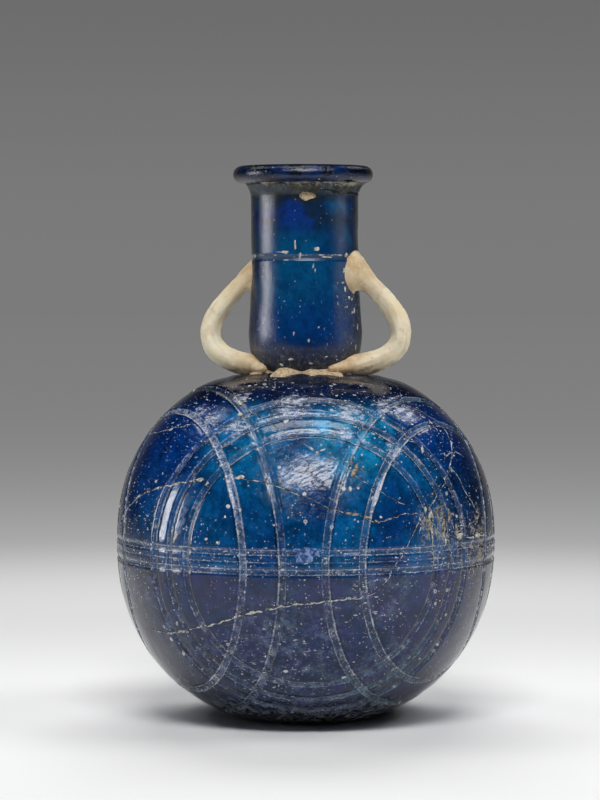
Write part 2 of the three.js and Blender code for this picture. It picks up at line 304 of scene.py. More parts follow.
class Shader(Nodes):
    """A new material whose colour is laid on in coats. Sizes of its patterns are in mm."""

    def __init__(self, name):
        self.material = bpy.data.materials.new(name)
        self.material.use_nodes = True
        super().__init__(self.material.node_tree)
        self.surface = self.tree.nodes["Principled BSDF"]
        self.place = self.node("TexCoord", output="Object")
        self.height = self.node("SeparateXYZ", {0: self.place}, "Z")
        self.towards = None
        self.colour = None

    def paint(self, colour, *shares):
        """Lays a colour over the one that is there, as thick as the product of the shares."""
        self.colour = self.blend(functools.reduce(operator.mul, shares), self.colour, colour)

    def shade(self, amount):
        self.colour = self.node("VectorMath", {0: self.colour, "Scale": amount}, operation="SCALE")

    def set(self, **values):
        """Sets sockets of the surface: underscores in a key stand for spaces."""
        for key, value in values.items():
            self.feed(self.surface.inputs[key.replace("_", " ")], value)

    def finish(self, roughness, relief, depth, **others):
        """Sets the surface, with a relief of a depth in mm, and gives the material."""
        bump = self.node("Bump", {"Strength": 1.0, "Distance": depth * MM, "Height": relief})
        self.set(Base_Color=self.colour, Roughness=roughness, IOR=GLASS_IOR, Normal=bump, **others)
        return self.material

    def stretched(self, place, *factors):
        return self.vector("MULTIPLY", place, factors)

    def slanted(self, degrees, along, across):
        """The place with its front plane turned by an angle, then stretched along and across."""
        c, s = math.cos(math.radians(degrees)), math.sin(math.radians(degrees))
        ways = {"X": (c * along, 0, s * along), "Y": (0, along, 0), "Z": (-s * across, 0, c * across)}
        turned = {axis: self.vector("DOT_PRODUCT", self.place, way) for axis, way in ways.items()}
        return self.node("CombineXYZ", turned)

    def noise(self, size, detail=3.0, rough=0.55, place=None, output=0):
        """Noise from 0 to 1 with lumps of about a size."""
        inputs = {"Vector": place or self.place, "Scale": 1 / (size * MM)}
        return self.node("TexNoise", {**inputs, "Detail": detail, "Roughness": rough}, output)

    def patches(self, size, detail, rough, start, end):
        """The same with its contrast raised, up to clear patches."""
        return self.ramp(self.noise(size, detail, rough), start, end)

    def shaken(self, size, reach):
        """The place moved about by noise, which makes round spots ragged."""
        shift = self.vector("SUBTRACT", self.noise(size, 2.0, 0.5, output="Color"), (0.5, 0.5, 0.5))
        return self.vector("ADD", self.place, self.stretched(shift, *[reach * MM] * 3))

    def cells(self, size, place=None):
        """Distance to the nearest of points scattered a size apart, as a share of it, and a
        random number for each of them."""
        inputs = {"Vector": place or self.place, "Scale": 1 / (size * MM)}
        distance = self.node("TexVoronoi", inputs, "Distance")
        colour = Field(self, distance.socket.node.outputs["Color"])
        return distance, self.node("SeparateColor", {0: colour})

    def specks(self, size, share, width, place=None):
        """Small spots: a share of scattered points, each up to a width, as a share of the size."""
        distance, chance = self.cells(size, place)
        gap = distance - self.ramp(chance, 1 - share, 1.0) * width
        return self.ramp(gap, width * 0.25, -width * 0.1)

    def rings(self, size, share, radius):
        """Small rings round a share of scattered points."""
        distance, chance = self.cells(size)
        ring = self.ramp(abs(distance - radius), radius * 0.75, radius * 0.3)
        return ring * self.math("GREATER_THAN", chance, 1 - share)

    def near(self, azimuth, elevation, inner, outer):
        """1 within an angle of a direction and 0 past a wider one, in degrees."""
        cosine = self.vector("DOT_PRODUCT", self.towards, tuple(direction(azimuth, elevation)))
        return self.ramp(cosine, math.cos(math.radians(outer)), math.cos(math.radians(inner)))

    def near_any(self, places):
        return self.most(*[self.near(*place) for place in places])

    def facing(self, low, high):
        """A factor that is high where the surface faces the eye and low where it turns away."""
        away = self.node("LayerWeight", {"Blend": 0.5}, "Facing")
        return self.mix(self.ramp(away, 0.15, 0.9), high, low)

    def value_of(self, attribute):
        return self.node("Attribute", output="Fac", attribute_name=attribute)


GLASS_IOR = 1.5

# Colours, linear
DEEP_BLUE = (0.001, 0.030, 0.135)
BRIGHT_BLUE = (0.002, 0.082, 0.235)
CYAN_BLUE = (0.006, 0.31, 0.60)
ULTRAMARINE = (0.001, 0.042, 0.27)
NIGHT_BLUE = (0.003, 0.007, 0.045)
RIGHT_SHADE_BLUE = (0.002, 0.016, 0.070)
VIOLET = (0.002, 0.020, 0.086)
PURPLE = (0.013, 0.016, 0.085)
CLOUD_BLUE = (0.080, 0.125, 0.21)
PALE_FROST = (0.34, 0.42, 0.54)
CUT_FROST = (0.075, 0.145, 0.28)
LOW_FROST = (0.24, 0.33, 0.48)
LILAC = (0.42, 0.46, 0.62)
CHIP_AND_GLINT_WHITE = (0.70, 0.76, 0.80)
PIT_WHITE = (0.72, 0.74, 0.72)
FLAKE_AND_HIGHLIGHT_WHITE = (0.56, 0.62, 0.74)
CRUST = (0.40, 0.34, 0.24)
PATINA = (0.10, 0.22, 0.23)
DUST = (0.08, 0.10, 0.11)
DUST_AND_BOUNCE_GREY = (0.30, 0.32, 0.33)
NECK_DEEP = (0.001, 0.034, 0.125)
NECK_BRIGHT = (0.002, 0.078, 0.200)
NECK_LOW_BLUE = (0.001, 0.027, 0.155)
NECK_DARK = (0.008, 0.020, 0.042)
NECK_BLAZE = (0.004, 0.035, 0.25)
NECK_FILM = (0.022, 0.035, 0.036)
NECK_CUT = (0.025, 0.060, 0.13)
NECK_CRUST = (0.16, 0.18, 0.17)
NECK_STAIN = (0.010, 0.013, 0.016)
RIM_DARK = (0.001, 0.004, 0.018)
RIM_BLUE = (0.002, 0.018, 0.085)
RIM_GREY = (0.045, 0.060, 0.070)
RIM_FLECK = (0.42, 0.40, 0.33)
CREAM_DEEP = (0.93, 0.785, 0.52)
CREAM_PALE = (0.97, 0.88, 0.665)
CREAM_STREAK = (0.60, 0.44, 0.24)
CREAM_STAIN = (0.58, 0.37, 0.17)
CREAM_SHADE = (0.26, 0.16, 0.08)
CREAM_PIT = (0.24, 0.19, 0.13)
BRUISE_BLUE = (0.020, 0.080, 0.27)
BRUISE_LILAC = (0.25, 0.36, 0.64)
DIRT_AND_SHADE_DARK = (0.014, 0.020, 0.026)
DIRT_GREY = (0.085, 0.085, 0.065)
DIRT_BEIGE = (0.40, 0.36, 0.26)

# Places on the body: azimuth, elevation, inner and outer angle
# Etched places, set where the lamps' highlights fall: their pale flakes are partly a painted highlight
ETCHED_AND_HIGHLIT = (
    (-40, 42, 1, 4), (-27, 39, 1, 5), (19, 45, 1, 6), (44, 44, 1, 6), (15, 37, 0.5, 3),
    (31, 31, 1, 4), (-6, 48, 2, 8), (-50, 45, 1, 4), (36, 47, 1, 5), (-33, 52, 1, 4),
)
WORN = (
    (-66, 2, 8, 24), (58, 2, 6, 22), (-42, 44, 6, 24), (30, 47, 6, 26), (-30, 55, 4, 16),
    (52, 40, 4, 18), (-12, -34, 4, 22), (20, -14, 2, 14),
)
CLOUDY = ((-5, -28, 6, 22), (22, -10, 3, 12), (30, -34, 4, 14), (-45, -30, 4, 16), (-62, -8, 4, 18))
ULTRAMARINE_SIDES = ((-72, 38, 10, 40), (62, 42, 6, 24))
CRUSTED = ((42, 8, 2, 10), (60, 2, 3, 13))
GREENED = ((44, -45, 10, 30), (62, 42, 4, 18))

# How much of the frost shows in each line of a circle set
LINE_FROST = {1.9: (0.55, 0.5, 0.5), -64.4: (1.0, 0.45), 57.5: (0.8, 0.55)}
HIDDEN_FROST = (0.6, 0.6)


def circle_marks(s, wobble):
    """Masks of the circle lines' inside, bright inner edge, faint outer edge and shadow line."""
    marks = []
    for azimuth, lines in CIRCLE_SETS:
        cosine = s.vector("DOT_PRODUCT", s.towards, tuple(direction(azimuth, CIRCLE_ELEVATION)))
        angle = s.math("ARCCOSINE", cosine) * BODY_RADIUS + wobble
        for line, share in zip(lines, LINE_FROST.get(azimuth, HIDDEN_FROST)):
            gap = angle - math.radians(line) * BODY_RADIUS
            marks.append((
                s.ramp(abs(gap), CIRCLE_WIDTH * 0.56, CIRCLE_WIDTH * 0.40) * share,
                s.line(gap, -0.44 * CIRCLE_WIDTH, 0.24 * MM) * (0.55 + 0.45 * share),
                s.line(gap, 0.46 * CIRCLE_WIDTH, 0.16 * MM) * share,
                s.line(gap, -0.68 * CIRCLE_WIDTH, 0.26 * MM),
            ))
    return [s.most(*kind) for kind in zip(*marks)]


def body_pits(s, worn):
    """Pale pits, specks and short level dashes, thickest where the glass is worn."""
    ragged = s.shaken(0.9, 0.8)
    busy = s.most(worn, s.patches(7, 4.0, 0.7, 0.42, 0.60) * 0.7)
    dashes = s.specks(0.95, 0.75, 0.20, s.stretched(ragged, 0.40, 0.40, 1.5))
    pits = [s.specks(4.6, 0.32, 0.11, ragged), dashes * worn * 0.8, s.rings(3.1, 0.10, 0.10) * 0.6]
    for size, share, width, calm, thick in (
        (1.9, 0.75, 0.13, 0.25, 1.0),
        (1.05, 0.80, 0.17, 0.05, 0.95),
        (1.4, 0.30, 0.13, 0.2, 0.6),
        (0.8, 0.70, 0.20, 0.0, 0.6),
    ):
        pits.append(s.specks(size, share, width, ragged) * s.mix(busy, calm, thick))
    return s.most(*pits)


def paint_body(s, below):
    """The glass's blue, with a painted glow of light high up in front, painted shade at the right and on
    the shoulder, and violet below the band.
    """
    s.colour = s.blend(s.patches(15, 4.0, 0.6, 0.35, 0.65), DEEP_BLUE, BRIGHT_BLUE)
    # Painted light: a cyan glow high up in front, as of light coming through the glass
    bright = s.most(s.near(17, 36, 3, 18), s.near(-24, 37, 4, 18) * 0.4)
    s.paint(CYAN_BLUE, bright, s.patches(3.5, 5.0, 0.7, 0.3, 0.7))
    # Painted shade: the right side of the glass darkened
    s.paint(RIGHT_SHADE_BLUE, s.near(78, 12, 14, 42), 0.8)
    s.paint(ULTRAMARINE, s.near_any(ULTRAMARINE_SIDES), 0.7)
    s.paint(s.blend(s.patches(9, 3.0, 0.6, 0.42, 0.62), VIOLET, PURPLE), below, 0.93)
    s.paint(CLOUD_BLUE, s.near_any(CLOUDY), s.patches(2.6, 6.0, 0.75, 0.44, 0.66), below, 0.95)
    # Painted shade: a night-blue band just below the shoulder's flat top
    s.paint(NIGHT_BLUE, s.ramp(s.height, SEAT - 9.5 * MM, SEAT - 4.5 * MM), 0.9)
    fine = s.mix(s.patches(1.5, 7.0, 0.75, 0.3, 0.7), 0.70, 1.30)
    blotches = s.mix(s.patches(4.5, 5.0, 0.7, 0.34, 0.66), 0.62, 1.35)
    s.shade(fine * blotches * s.facing(0.30, 1.08))


def body_glass():
    s = Shader("cobalt_glass_body")
    s.towards = s.vector("NORMALIZE", s.vector("SUBTRACT", s.place, (0.0, 0.0, BODY_CENTRE)))
    fine = s.noise(0.8, 5.0, 0.7)
    wobble = (s.noise(1.3, 5.0, 0.8) - 0.5) * (0.75 * MM)
    below = s.ramp(s.height, BAND_HEIGHT - BAND_SPACING * 0.6, BAND_HEIGHT - BAND_SPACING * 1.9)
    on_band = s.ramp(abs(s.height - BAND_HEIGHT), BAND_SPACING * 2.0, BAND_SPACING)
    worn = s.most(s.near_any(WORN), on_band)

    # The cuts
    frosted, inner, outer, shadow = circle_marks(s, wobble)
    level = s.height - BAND_HEIGHT + wobble * 0.7
    for side in (-1, 1):
        gap = level - side * BAND_SPACING
        frosted = s.most(frosted, s.ramp(abs(gap), BAND_WIDTH * 0.6, BAND_WIDTH * 0.4) * 0.7)
        inner = s.most(inner, s.line(gap, -BAND_WIDTH / 2, 0.17 * MM) * 0.8)
        outer = s.most(outer, s.line(gap, BAND_WIDTH / 2, 0.16 * MM))
    outer = s.most(outer, s.line(level, 0.0, 0.18 * MM) * 0.6)

    # Frost in the cuts, a painted shadow beside them, and broken pale edges that are partly chips and
    # partly painted highlights
    paint_body(s, below)
    patchy = s.patches(8, 4.0, 0.7, 0.36, 0.62)
    fading = s.mix(s.patches(6, 5.0, 0.75, 0.56, 0.44), 1.0, s.mix(below, 0.45, 0.25))
    cut = frosted * s.mix(s.ramp(fine, 0.35, 0.6), 0.55, 1.0)
    s.shade(s.mix(shadow * s.mix(below, 0.75, 0.4), 1.0, 0.25))
    s.paint(CUT_FROST, cut, s.mix(patchy, 0.30, 0.85), s.mix(below, 0.85, 0.45), fading)
    s.paint(LOW_FROST, cut, s.near(-4, -44, 8, 26), s.patches(2.6, 6.0, 0.8, 0.42, 0.58), 0.9)
    high_up = s.mix(s.ramp(s.height, BAND_HEIGHT + 12 * MM, BAND_HEIGHT + 26 * MM), 0.4, 0.95)
    strong = s.ramp(frosted, 0.85, 1.0) * s.patches(1.5, 6.0, 0.8, 0.47, 0.58)
    s.paint(LILAC, strong, s.mix(below, high_up, 0.15))
    # Painted highlights on the lips of the cuts, broken up like chips
    edge = s.most(inner * s.mix(patchy, 0.45, 1.0), outer * s.mix(patchy, 0.15, 0.9))
    chips = edge * s.patches(0.9, 6.0, 0.85, 0.42, 0.54) * fading
    s.paint(CHIP_AND_GLINT_WHITE, chips)
    s.paint(PIT_WHITE, s.most(inner, outer, cut * 0.6), s.patches(2.4, 6.0, 0.85, 0.55, 0.585), 0.9)

    # Etched places where the lamps' highlights fall, with pale flakes that are partly weathering and
    # partly painted highlight; worn places, scuffs, pits and crust
    etched_and_highlit = s.near_any(ETCHED_AND_HIGHLIT)
    level_grain = s.noise(1.1, 5.0, 0.75, s.stretched(s.place, 0.35, 0.35, 1.8))
    slant_grain = s.noise(1.0, 4.0, 0.7, s.stretched(s.place, 1.6, 0.4, 0.6))
    flakes_and_highlight = s.ramp(etched_and_highlit * 0.18 + s.noise(1.3, 7.0, 0.9), 0.62, 0.67)
    flakes_and_highlight = flakes_and_highlight * s.ramp(etched_and_highlit, 0.0, 0.3) * s.ramp(level_grain, 0.46, 0.53)
    s.paint(FLAKE_AND_HIGHLIGHT_WHITE, flakes_and_highlight, 0.85)
    scuff = s.most(s.ramp(level_grain, 0.63, 0.69), s.ramp(slant_grain, 0.66, 0.72) * 0.7)
    scuff = scuff * s.mix(worn, 0.12, 0.9)
    s.paint(PALE_FROST, scuff)
    pits = body_pits(s, worn)
    s.paint(PIT_WHITE, pits, 0.9)
    crust = s.near_any(CRUSTED) * s.patches(1.8, 5.0, 0.75, 0.5, 0.62)
    s.paint(CRUST, crust, 0.75)
    patina = s.near_any(GREENED) * s.ramp(frosted, 0.1, 0.4) * s.ramp(fine, 0.35, 0.55)
    s.paint(PATINA, patina, patchy, 0.45)
    dusty = s.ramp(s.height, SEAT - 3.0 * MM, SEAT - 0.8 * MM) * s.ramp(fine, 0.40, 0.58)
    s.paint(DUST, dusty, 0.30)
    # Pale grey near the base: partly dust, partly painted light standing in for light thrown up from the
    # table
    s.paint(DUST_AND_BOUNCE_GREY, s.ramp(s.height, 10 * MM, 1 * MM), s.patches(1.6, 6.0, 0.8, 0.44, 0.58), 0.85)

    # How dull and how uneven the surface is
    film = s.most(cut * 0.3, chips * 0.7, scuff * 0.7, pits, crust, flakes_and_highlight * 0.3, dusty * 0.40)
    haze = s.patches(5, 4.0, 0.7, 0.42, 0.72)
    scratched = s.ramp(s.noise(0.75, 6.0, 0.85, s.slanted(24, 0.45, 1.5)), 0.52, 0.60)
    streaks = scratched * s.mix(s.near(1, 25, 7, 17), 0.12, 1.0) * 0.32
    rough = s.mix(s.most(film, streaks), s.mix(haze, 0.04, 0.09), 0.60)
    bumpy = s.mix(haze, 0.10, 0.35) + s.most(etched_and_highlit, cut * 0.6, below * 0.3) * 0.8
    relief = s.noise(0.9, 4.0, 0.75) * bumpy + s.noise(2.2, 3.0, 0.6) * 0.5
    return s.finish(rough, relief - s.most(pits, streaks * 1.6) * 0.5, 0.12)


def neck_glass():
    s = Shader("cobalt_glass_neck")
    s.towards = s.vector("NORMALIZE", s.stretched(s.place, 1.0, 1.0, 0.0))
    rise = (s.height - NECK_FOOT) * (1 / MM)
    drop = (NECK_TOP - s.height) * (1 / MM)
    cloud = s.noise(11)
    fine = s.noise(1.8, 5.0, 0.65)
    s.colour = s.blend(s.ramp(cloud, 0.3, 0.7), NECK_DEEP, NECK_BRIGHT)
    s.paint(NECK_LOW_BLUE, s.ramp(rise, 22, 12), 0.7)
    top = s.ramp(drop, 15, 7)
    s.paint(NECK_DARK, top, s.ramp(cloud, 0.66, 0.42), 0.9)
    s.paint(NECK_BLAZE, top, s.patches(7, 3.0, 0.6, 0.46, 0.60), 0.7)
    s.paint(NECK_FILM, s.ramp(drop, 6, 2), s.ramp(fine, 0.3, 0.55), 0.8)
    s.paint(NIGHT_BLUE, s.ramp(rise, 9, 3), 0.85)
    s.shade(s.mix(s.patches(1.8, 7.0, 0.8, 0.3, 0.7), 0.68, 1.32) * s.facing(0.18, 1.05))

    # The cut line, and its pale edges: partly chips, partly painted highlights
    gap = abs(s.height - (NECK_FOOT + NECK_LINE_RISE)) + (fine - 0.5) * (0.6 * MM)
    cut = s.ramp(gap, BAND_WIDTH * 0.55, BAND_WIDTH * 0.35)
    s.paint(NECK_CUT, cut, 0.7)
    chips = s.ramp(abs(gap - BAND_WIDTH / 2), 0.22 * MM, 0.06 * MM)
    s.paint(CHIP_AND_GLINT_WHITE, chips, s.patches(2.2, 5.0, 0.7, 0.54, 0.64), 0.85)

    # Upright dashes, thick at the lower right, specks, and crust at the foot and under the rim
    ragged = s.shaken(0.9, 0.7)
    side = s.near(62, 0, 16, 36) * s.ramp(rise, 26, 18)
    lower = s.ramp(rise, 24, 6)
    dashes = s.specks(1.0, 0.80, 0.20, s.stretched(ragged, 1.5, 1.5, 0.45))
    pits = s.most(
        s.specks(3.4, 0.30, 0.13, ragged),
        s.specks(1.3, 0.60, 0.14, ragged) * s.mix(lower, 0.35, 0.9),
        dashes * s.most(side, lower * 0.35),
    )
    s.paint(PIT_WHITE, pits, 0.8)
    crusted = s.most(s.ramp(rise, 7.5, 3), s.ramp(drop, 4, 1.5) * 0.8, side * 0.6)
    s.paint(NECK_CRUST, crusted, s.patches(1.3, 7.0, 0.85, 0.48, 0.58), 0.6)
    s.paint(NECK_STAIN, s.ramp(rise, 9, 5), s.patches(2.2, 7.0, 0.85, 0.50, 0.58), 0.6)
    haze = s.patches(5, 4.0, 0.7, 0.45, 0.75)
    rough = s.mix(s.most(pits, crusted, cut * 0.5), s.mix(haze, 0.06, 0.15), 0.62)
    upright_grain = s.noise(0.9, 5.0, 0.8, s.stretched(s.place, 1.6, 1.6, 0.35))
    return s.finish(rough, s.noise(0.9, 4.0, 0.75) * 0.6 + upright_grain * 0.8, 0.08)


def rim_glass():
    s = Shader("cobalt_glass_rim")
    fine = s.noise(1.1, 6.0, 0.75)
    s.colour = s.blend(s.patches(6, 4.0, 0.7, 0.40, 0.62), RIM_DARK, RIM_BLUE)
    s.paint(RIM_GREY, s.patches(2.5, 5.0, 0.7, 0.62, 0.68))
    flecks = s.most(s.ramp(fine, 0.64, 0.70), s.specks(1.6, 0.5, 0.16, s.shaken(0.9, 0.8)) * 0.9)
    s.paint(RIM_FLECK, flecks, 0.7)
    s.shade(s.facing(0.4, 1.1))
    rough = s.mix(flecks, s.mix(s.ramp(fine, 0.35, 0.6), 0.08, 0.22), 0.65)
    return s.finish(rough, fine * 0.7 + s.noise(3.0, 3.0, 0.6) * 1.6, 0.16)


def cream_glass(name):
    """Opaque glass that is drawn out in streaks along the coil, stained at its ends."""
    s = Shader(name)
    cloud = s.noise(7, 4.0, 0.6)
    fine = s.noise(1.1, 5.0, 0.65)
    unrolled = {"X": s.value_of("around") * ROD_FOOT, "Y": s.value_of("along") * 0.10}
    drawn = s.noise(1.0, 4.0, 0.7, s.node("CombineXYZ", unrolled))
    s.colour = s.blend(s.ramp(cloud, 0.35, 0.65), CREAM_DEEP, CREAM_PALE)
    s.paint(CREAM_STREAK, s.ramp(drawn, 0.52, 0.66), 0.5)
    worn = s.patches(3.0, 5.0, 0.7, 0.40, 0.60)
    stain = s.most(s.value_of("ends") * s.mix(worn, 0.55, 1.0), s.ramp(cloud, 0.58, 0.66) * 0.5)
    s.paint(CREAM_STAIN, stain, 0.8)
    s.paint(CREAM_SHADE, s.ramp(s.height, SEAT + 1.4 * MM, SEAT + 0.4 * MM), worn, 0.8)
    pits = s.specks(1.5, 0.5, 0.12)
    s.paint(CREAM_PIT, pits, 0.7)
    return s.finish(
        s.mix(fine, 0.32, 0.52), fine * 0.5 + drawn * 0.6 - pits * 0.8, 0.12,
        Subsurface_Weight=0.12, Subsurface_Radius=(1.0, 0.7, 0.4), Subsurface_Scale=1.0 * MM,
    )


def bruised_glass():
    """Crushed glass, lilac and shiny."""
    s = Shader("bruised_glass")
    fine = s.noise(1.5, 5.0, 0.75)
    s.colour = s.blend(s.ramp(fine, 0.46, 0.60), BRUISE_BLUE, BRUISE_LILAC)
    return s.finish(s.mix(s.ramp(fine, 0.4, 0.6), 0.06, 0.25), s.noise(1.2, 4.0, 0.7), 0.25)


def crust_material(name, pale, dark, low, high):
    s = Shader(name)
    fine = s.noise(0.8, 5.0, 0.7)
    s.colour = s.blend(s.ramp(fine, low, high), dark, pale)
    return s.finish(0.85, fine, 0.15)


def corner_dirt_and_shade():
    """Beige right under the rim, and dark below it: partly dirt, partly painted shade under the rim."""
    s = Shader("corner_dirt_and_shade")
    fine = s.noise(1.6, 7.0, 0.8)
    high = s.ramp(s.height + (fine - 0.5) * (2.4 * MM), RIM_FOOT - 1.1 * MM, RIM_FOOT - 0.2 * MM)
    # Painted shade mixed with dirt: the deposit is darkened where the rim shades it
    s.colour = s.blend(s.ramp(fine, 0.40, 0.62), DIRT_AND_SHADE_DARK, DIRT_GREY)
    places = s.mix(s.patches(5, 4.0, 0.7, 0.42, 0.56), 0.25, 1.0)
    s.paint(DIRT_BEIGE, high, places, s.ramp(fine, 0.42, 0.54))
    return s.finish(0.8, fine, 0.18)


# Body

BODY_SEGMENTS = 540
BODY_ROWS = 168


def trough(gap, width, depth):
    """Depth of a round-bottomed cut at a distance from its middle."""
    return depth * np.clip(1 - (gap / (width / 2)) ** 2, 0, 1) ** 0.8


def body_relief(towards, points):
    """How far the outside lies below the smooth globe: cuts, waviness and worn dents."""
    below = 0.09 * MM * waves(points, 26 * MM, 3) + 0.03 * MM * waves(points, 7 * MM, 5)
    cuts = np.zeros(points.shape[:-1])
    for azimuth, lines in CIRCLE_SETS:
        middle = direction(azimuth, CIRCLE_ELEVATION)
        angle = np.arccos(np.clip(towards @ middle, -1, 1))
        for line in lines:
            gap = np.abs(angle - math.radians(line)) * BODY_RADIUS
            cuts = np.maximum(cuts, trough(gap, CIRCLE_WIDTH, CIRCLE_DEPTH))
    for side, share in ((-1, 1.0), (0, 0.5), (1, 1.0)):
        gap = np.abs(points[..., 2] - BAND_HEIGHT - side * BAND_SPACING)
        cuts = np.maximum(cuts, trough(gap, BAND_WIDTH * share, BAND_DEPTH * share))
    return np.maximum(below, 0) + cuts


def make_body(material):
    low = math.degrees(math.atan2(-BODY_CENTRE, BASE_RADIUS))
    high = math.degrees(math.atan2(SEAT - BODY_CENTRE, SHOULDER_FLAT))
    azimuth = np.arange(BODY_SEGMENTS) * 360 / BODY_SEGMENTS
    elevation = np.linspace(low, high, BODY_ROWS + 1)
    around, up = np.meshgrid(azimuth, elevation)
    towards = direction(around, up)
    outside = body_point(towards)
    inward = -unit(outside - CENTRE)
    relief = body_relief(towards, outside)
    fade = np.minimum(1, (elevation - low) / CUT_FADE)[:, None]
    outside += inward * (relief * fade)[..., None]
    outside[0, :, 2] = 0
    outside[-1, :, 2] = SEAT
    across = np.hypot(outside[..., 0], outside[..., 1])
    sag = SHOULDER_SAG * np.exp(-((across - SHOULDER_FLAT) / SAG_SPREAD) ** 2)
    outside[..., 2] -= np.where(outside[..., 2] > BODY_CENTRE, sag, 0)

    # Shoulder, throat and hollow
    shrink = 1 - BODY_WALL / BODY_RADIUS
    inside_low = math.asin(-(BODY_CENTRE - BASE_THICKNESS) / (BODY_RADIUS * shrink))
    inside_high = math.radians(HOLLOW_TOP)
    hollow = []
    for angle in np.linspace(inside_high, inside_low, 12):
        point = body_point(direction(90.0, math.degrees(angle)))
        hollow.append((point[0] * shrink, BODY_CENTRE + (point[2] - BODY_CENTRE) * shrink))
    ceiling = SEAT - SHOULDER_THICKNESS
    profile = np.array([
        *[(SHOULDER_FLAT * share, SEAT - SHOULDER_SAG * sag) for share, sag in SHOULDER_STEPS],
        (THROAT_RADIUS, SEAT),
        (THROAT_RADIUS, ceiling + SHOULDER_THICKNESS / 2),
        (THROAT_RADIUS + SHOULDER_THICKNESS, ceiling),
        *[(radius, min(height, ceiling)) for radius, height in hollow],
    ])
    inside = ring_grid(profile, BODY_SEGMENTS)
    points = np.concatenate([outside, inside]).reshape(-1, 3)
    faces = capped_faces(len(points) // BODY_SEGMENTS, BODY_SEGMENTS)
    piece = make_object("glass_body", points, faces, material)
    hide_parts("body")


# Neck and rim

NECK_SEGMENTS = 300


def neck_radius_at(height):
    """Radius of the neck's outside at heights above its foot."""
    swell = NECK_RADIUS + NECK_SWELL
    share = np.clip(1 - height / NECK_SWELL_RISE, 0, 1)
    rounded = NECK_FOOT_RADIUS + (swell - NECK_FOOT_RADIUS) * np.sqrt(1 - share**2)
    ease = np.clip((height - NECK_SWELL_RISE) / (NECK_LINE_RISE - NECK_SWELL_RISE), 0, 1)
    straight = swell - NECK_SWELL * np.sin(ease * math.pi / 2)
    flare = np.clip((height - (NECK_TOP - NECK_FOOT - NECK_FLARE_HEIGHT)) / NECK_FLARE_HEIGHT, 0, 1)
    return np.where(height < NECK_SWELL_RISE, rounded, straight) + NECK_FLARE * flare**2


def make_neck(material):
    foot = NECK_SWELL_RISE * (1 - np.cos(np.linspace(0, math.pi / 2, 30)))
    rest = np.linspace(NECK_SWELL_RISE, NECK_TOP - NECK_FOOT, 110)[1:]
    rise = np.concatenate([foot, rest])
    outside = np.stack([neck_radius_at(rise), NECK_FOOT + rise], -1)
    bore = NECK_RADIUS - NECK_WALL
    inside = np.array([
        (bore, NECK_TOP),
        (bore, NECK_TOP - 12 * MM),
        (bore, NECK_FOOT + NECK_SWELL_RISE * 2),
        (bore, NECK_FOOT + NECK_SWELL_RISE),
        (bore * 0.93, NECK_FOOT + NECK_SWELL_RISE / 2),
        (THROAT_RADIUS, NECK_FOOT + NECK_SWELL_RISE / 6),
        (THROAT_RADIUS, NECK_FOOT),
    ])
    grid = ring_grid(outside, NECK_SEGMENTS)
    line = np.abs(grid[..., 2] - NECK_FOOT - NECK_LINE_RISE)
    relief = trough(line, BAND_WIDTH * 1.1, BAND_DEPTH)
    relief = relief + 0.07 * MM * np.maximum(waves(grid, 12 * MM, 11), 0)
    grid -= ring_grid(outward(outside), NECK_SEGMENTS) * relief[..., None]
    points = np.concatenate([grid, ring_grid(inside, NECK_SEGMENTS)]).reshape(-1, 3)
    points[:, 0] -= NECK_LEAN * (points[:, 2] - NECK_FOOT) / (NECK_TOP - NECK_FOOT)
    faces = grid_faces(len(points) // NECK_SEGMENTS, NECK_SEGMENTS, wrap_rows=True)
    piece = make_object("glass_neck", points, faces, material)
    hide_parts("neck")


def make_rim(material):
    bore = NECK_RADIUS - NECK_WALL
    middle = RIM_RADIUS - ROLL_RADIUS
    roll_height = RIM_FOOT + ROLL_RADIUS
    turn = np.linspace(-math.pi / 2, math.pi / 2, 25)
    roll = np.stack([middle + ROLL_RADIUS * np.cos(turn), roll_height + ROLL_RADIUS * np.sin(turn)], -1)
    crease = (middle + bore) / 2
    lip = RIM_TOP - LIP_DROP
    across = np.linspace(middle - 0.6 * MM, bore + 0.2 * MM, 14)
    dip = CREASE_DEPTH * np.exp(-((across - crease) / CREASE_WIDTH) ** 2)
    top = np.stack([across, lip - dip], -1)
    under = np.linspace(bore, middle, 8)[:-1]
    profile = np.concatenate([
        np.stack([under, np.full(len(under), RIM_FOOT)], -1),
        roll,
        top,
        np.array([(bore, lip - 0.6 * MM)]),
    ])
    grid = ring_grid(profile, NECK_SEGMENTS)
    wave = waves(grid, 14 * MM, 21) * 0.12 * MM
    grid[..., :2] *= 1 - np.maximum(wave, 0)[..., None] / RIM_RADIUS
    points = grid.reshape(-1, 3) - np.array([RIM_LEAN, 0, 0])
    faces = grid_faces(len(profile), NECK_SEGMENTS, wrap_rows=True)
    piece = make_object("glass_rim", points, faces, material)
    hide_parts("rim")


# Handles

def bezier(points, count):
    """Points of a cubic curve."""
    a, b, c, d = (np.array(p, float) for p in points)
    t = np.linspace(0, 1, count)[:, None]
    return (1 - t) ** 3 * a + 3 * (1 - t) ** 2 * t * b + 3 * (1 - t) * t**2 * c + t**3 * d


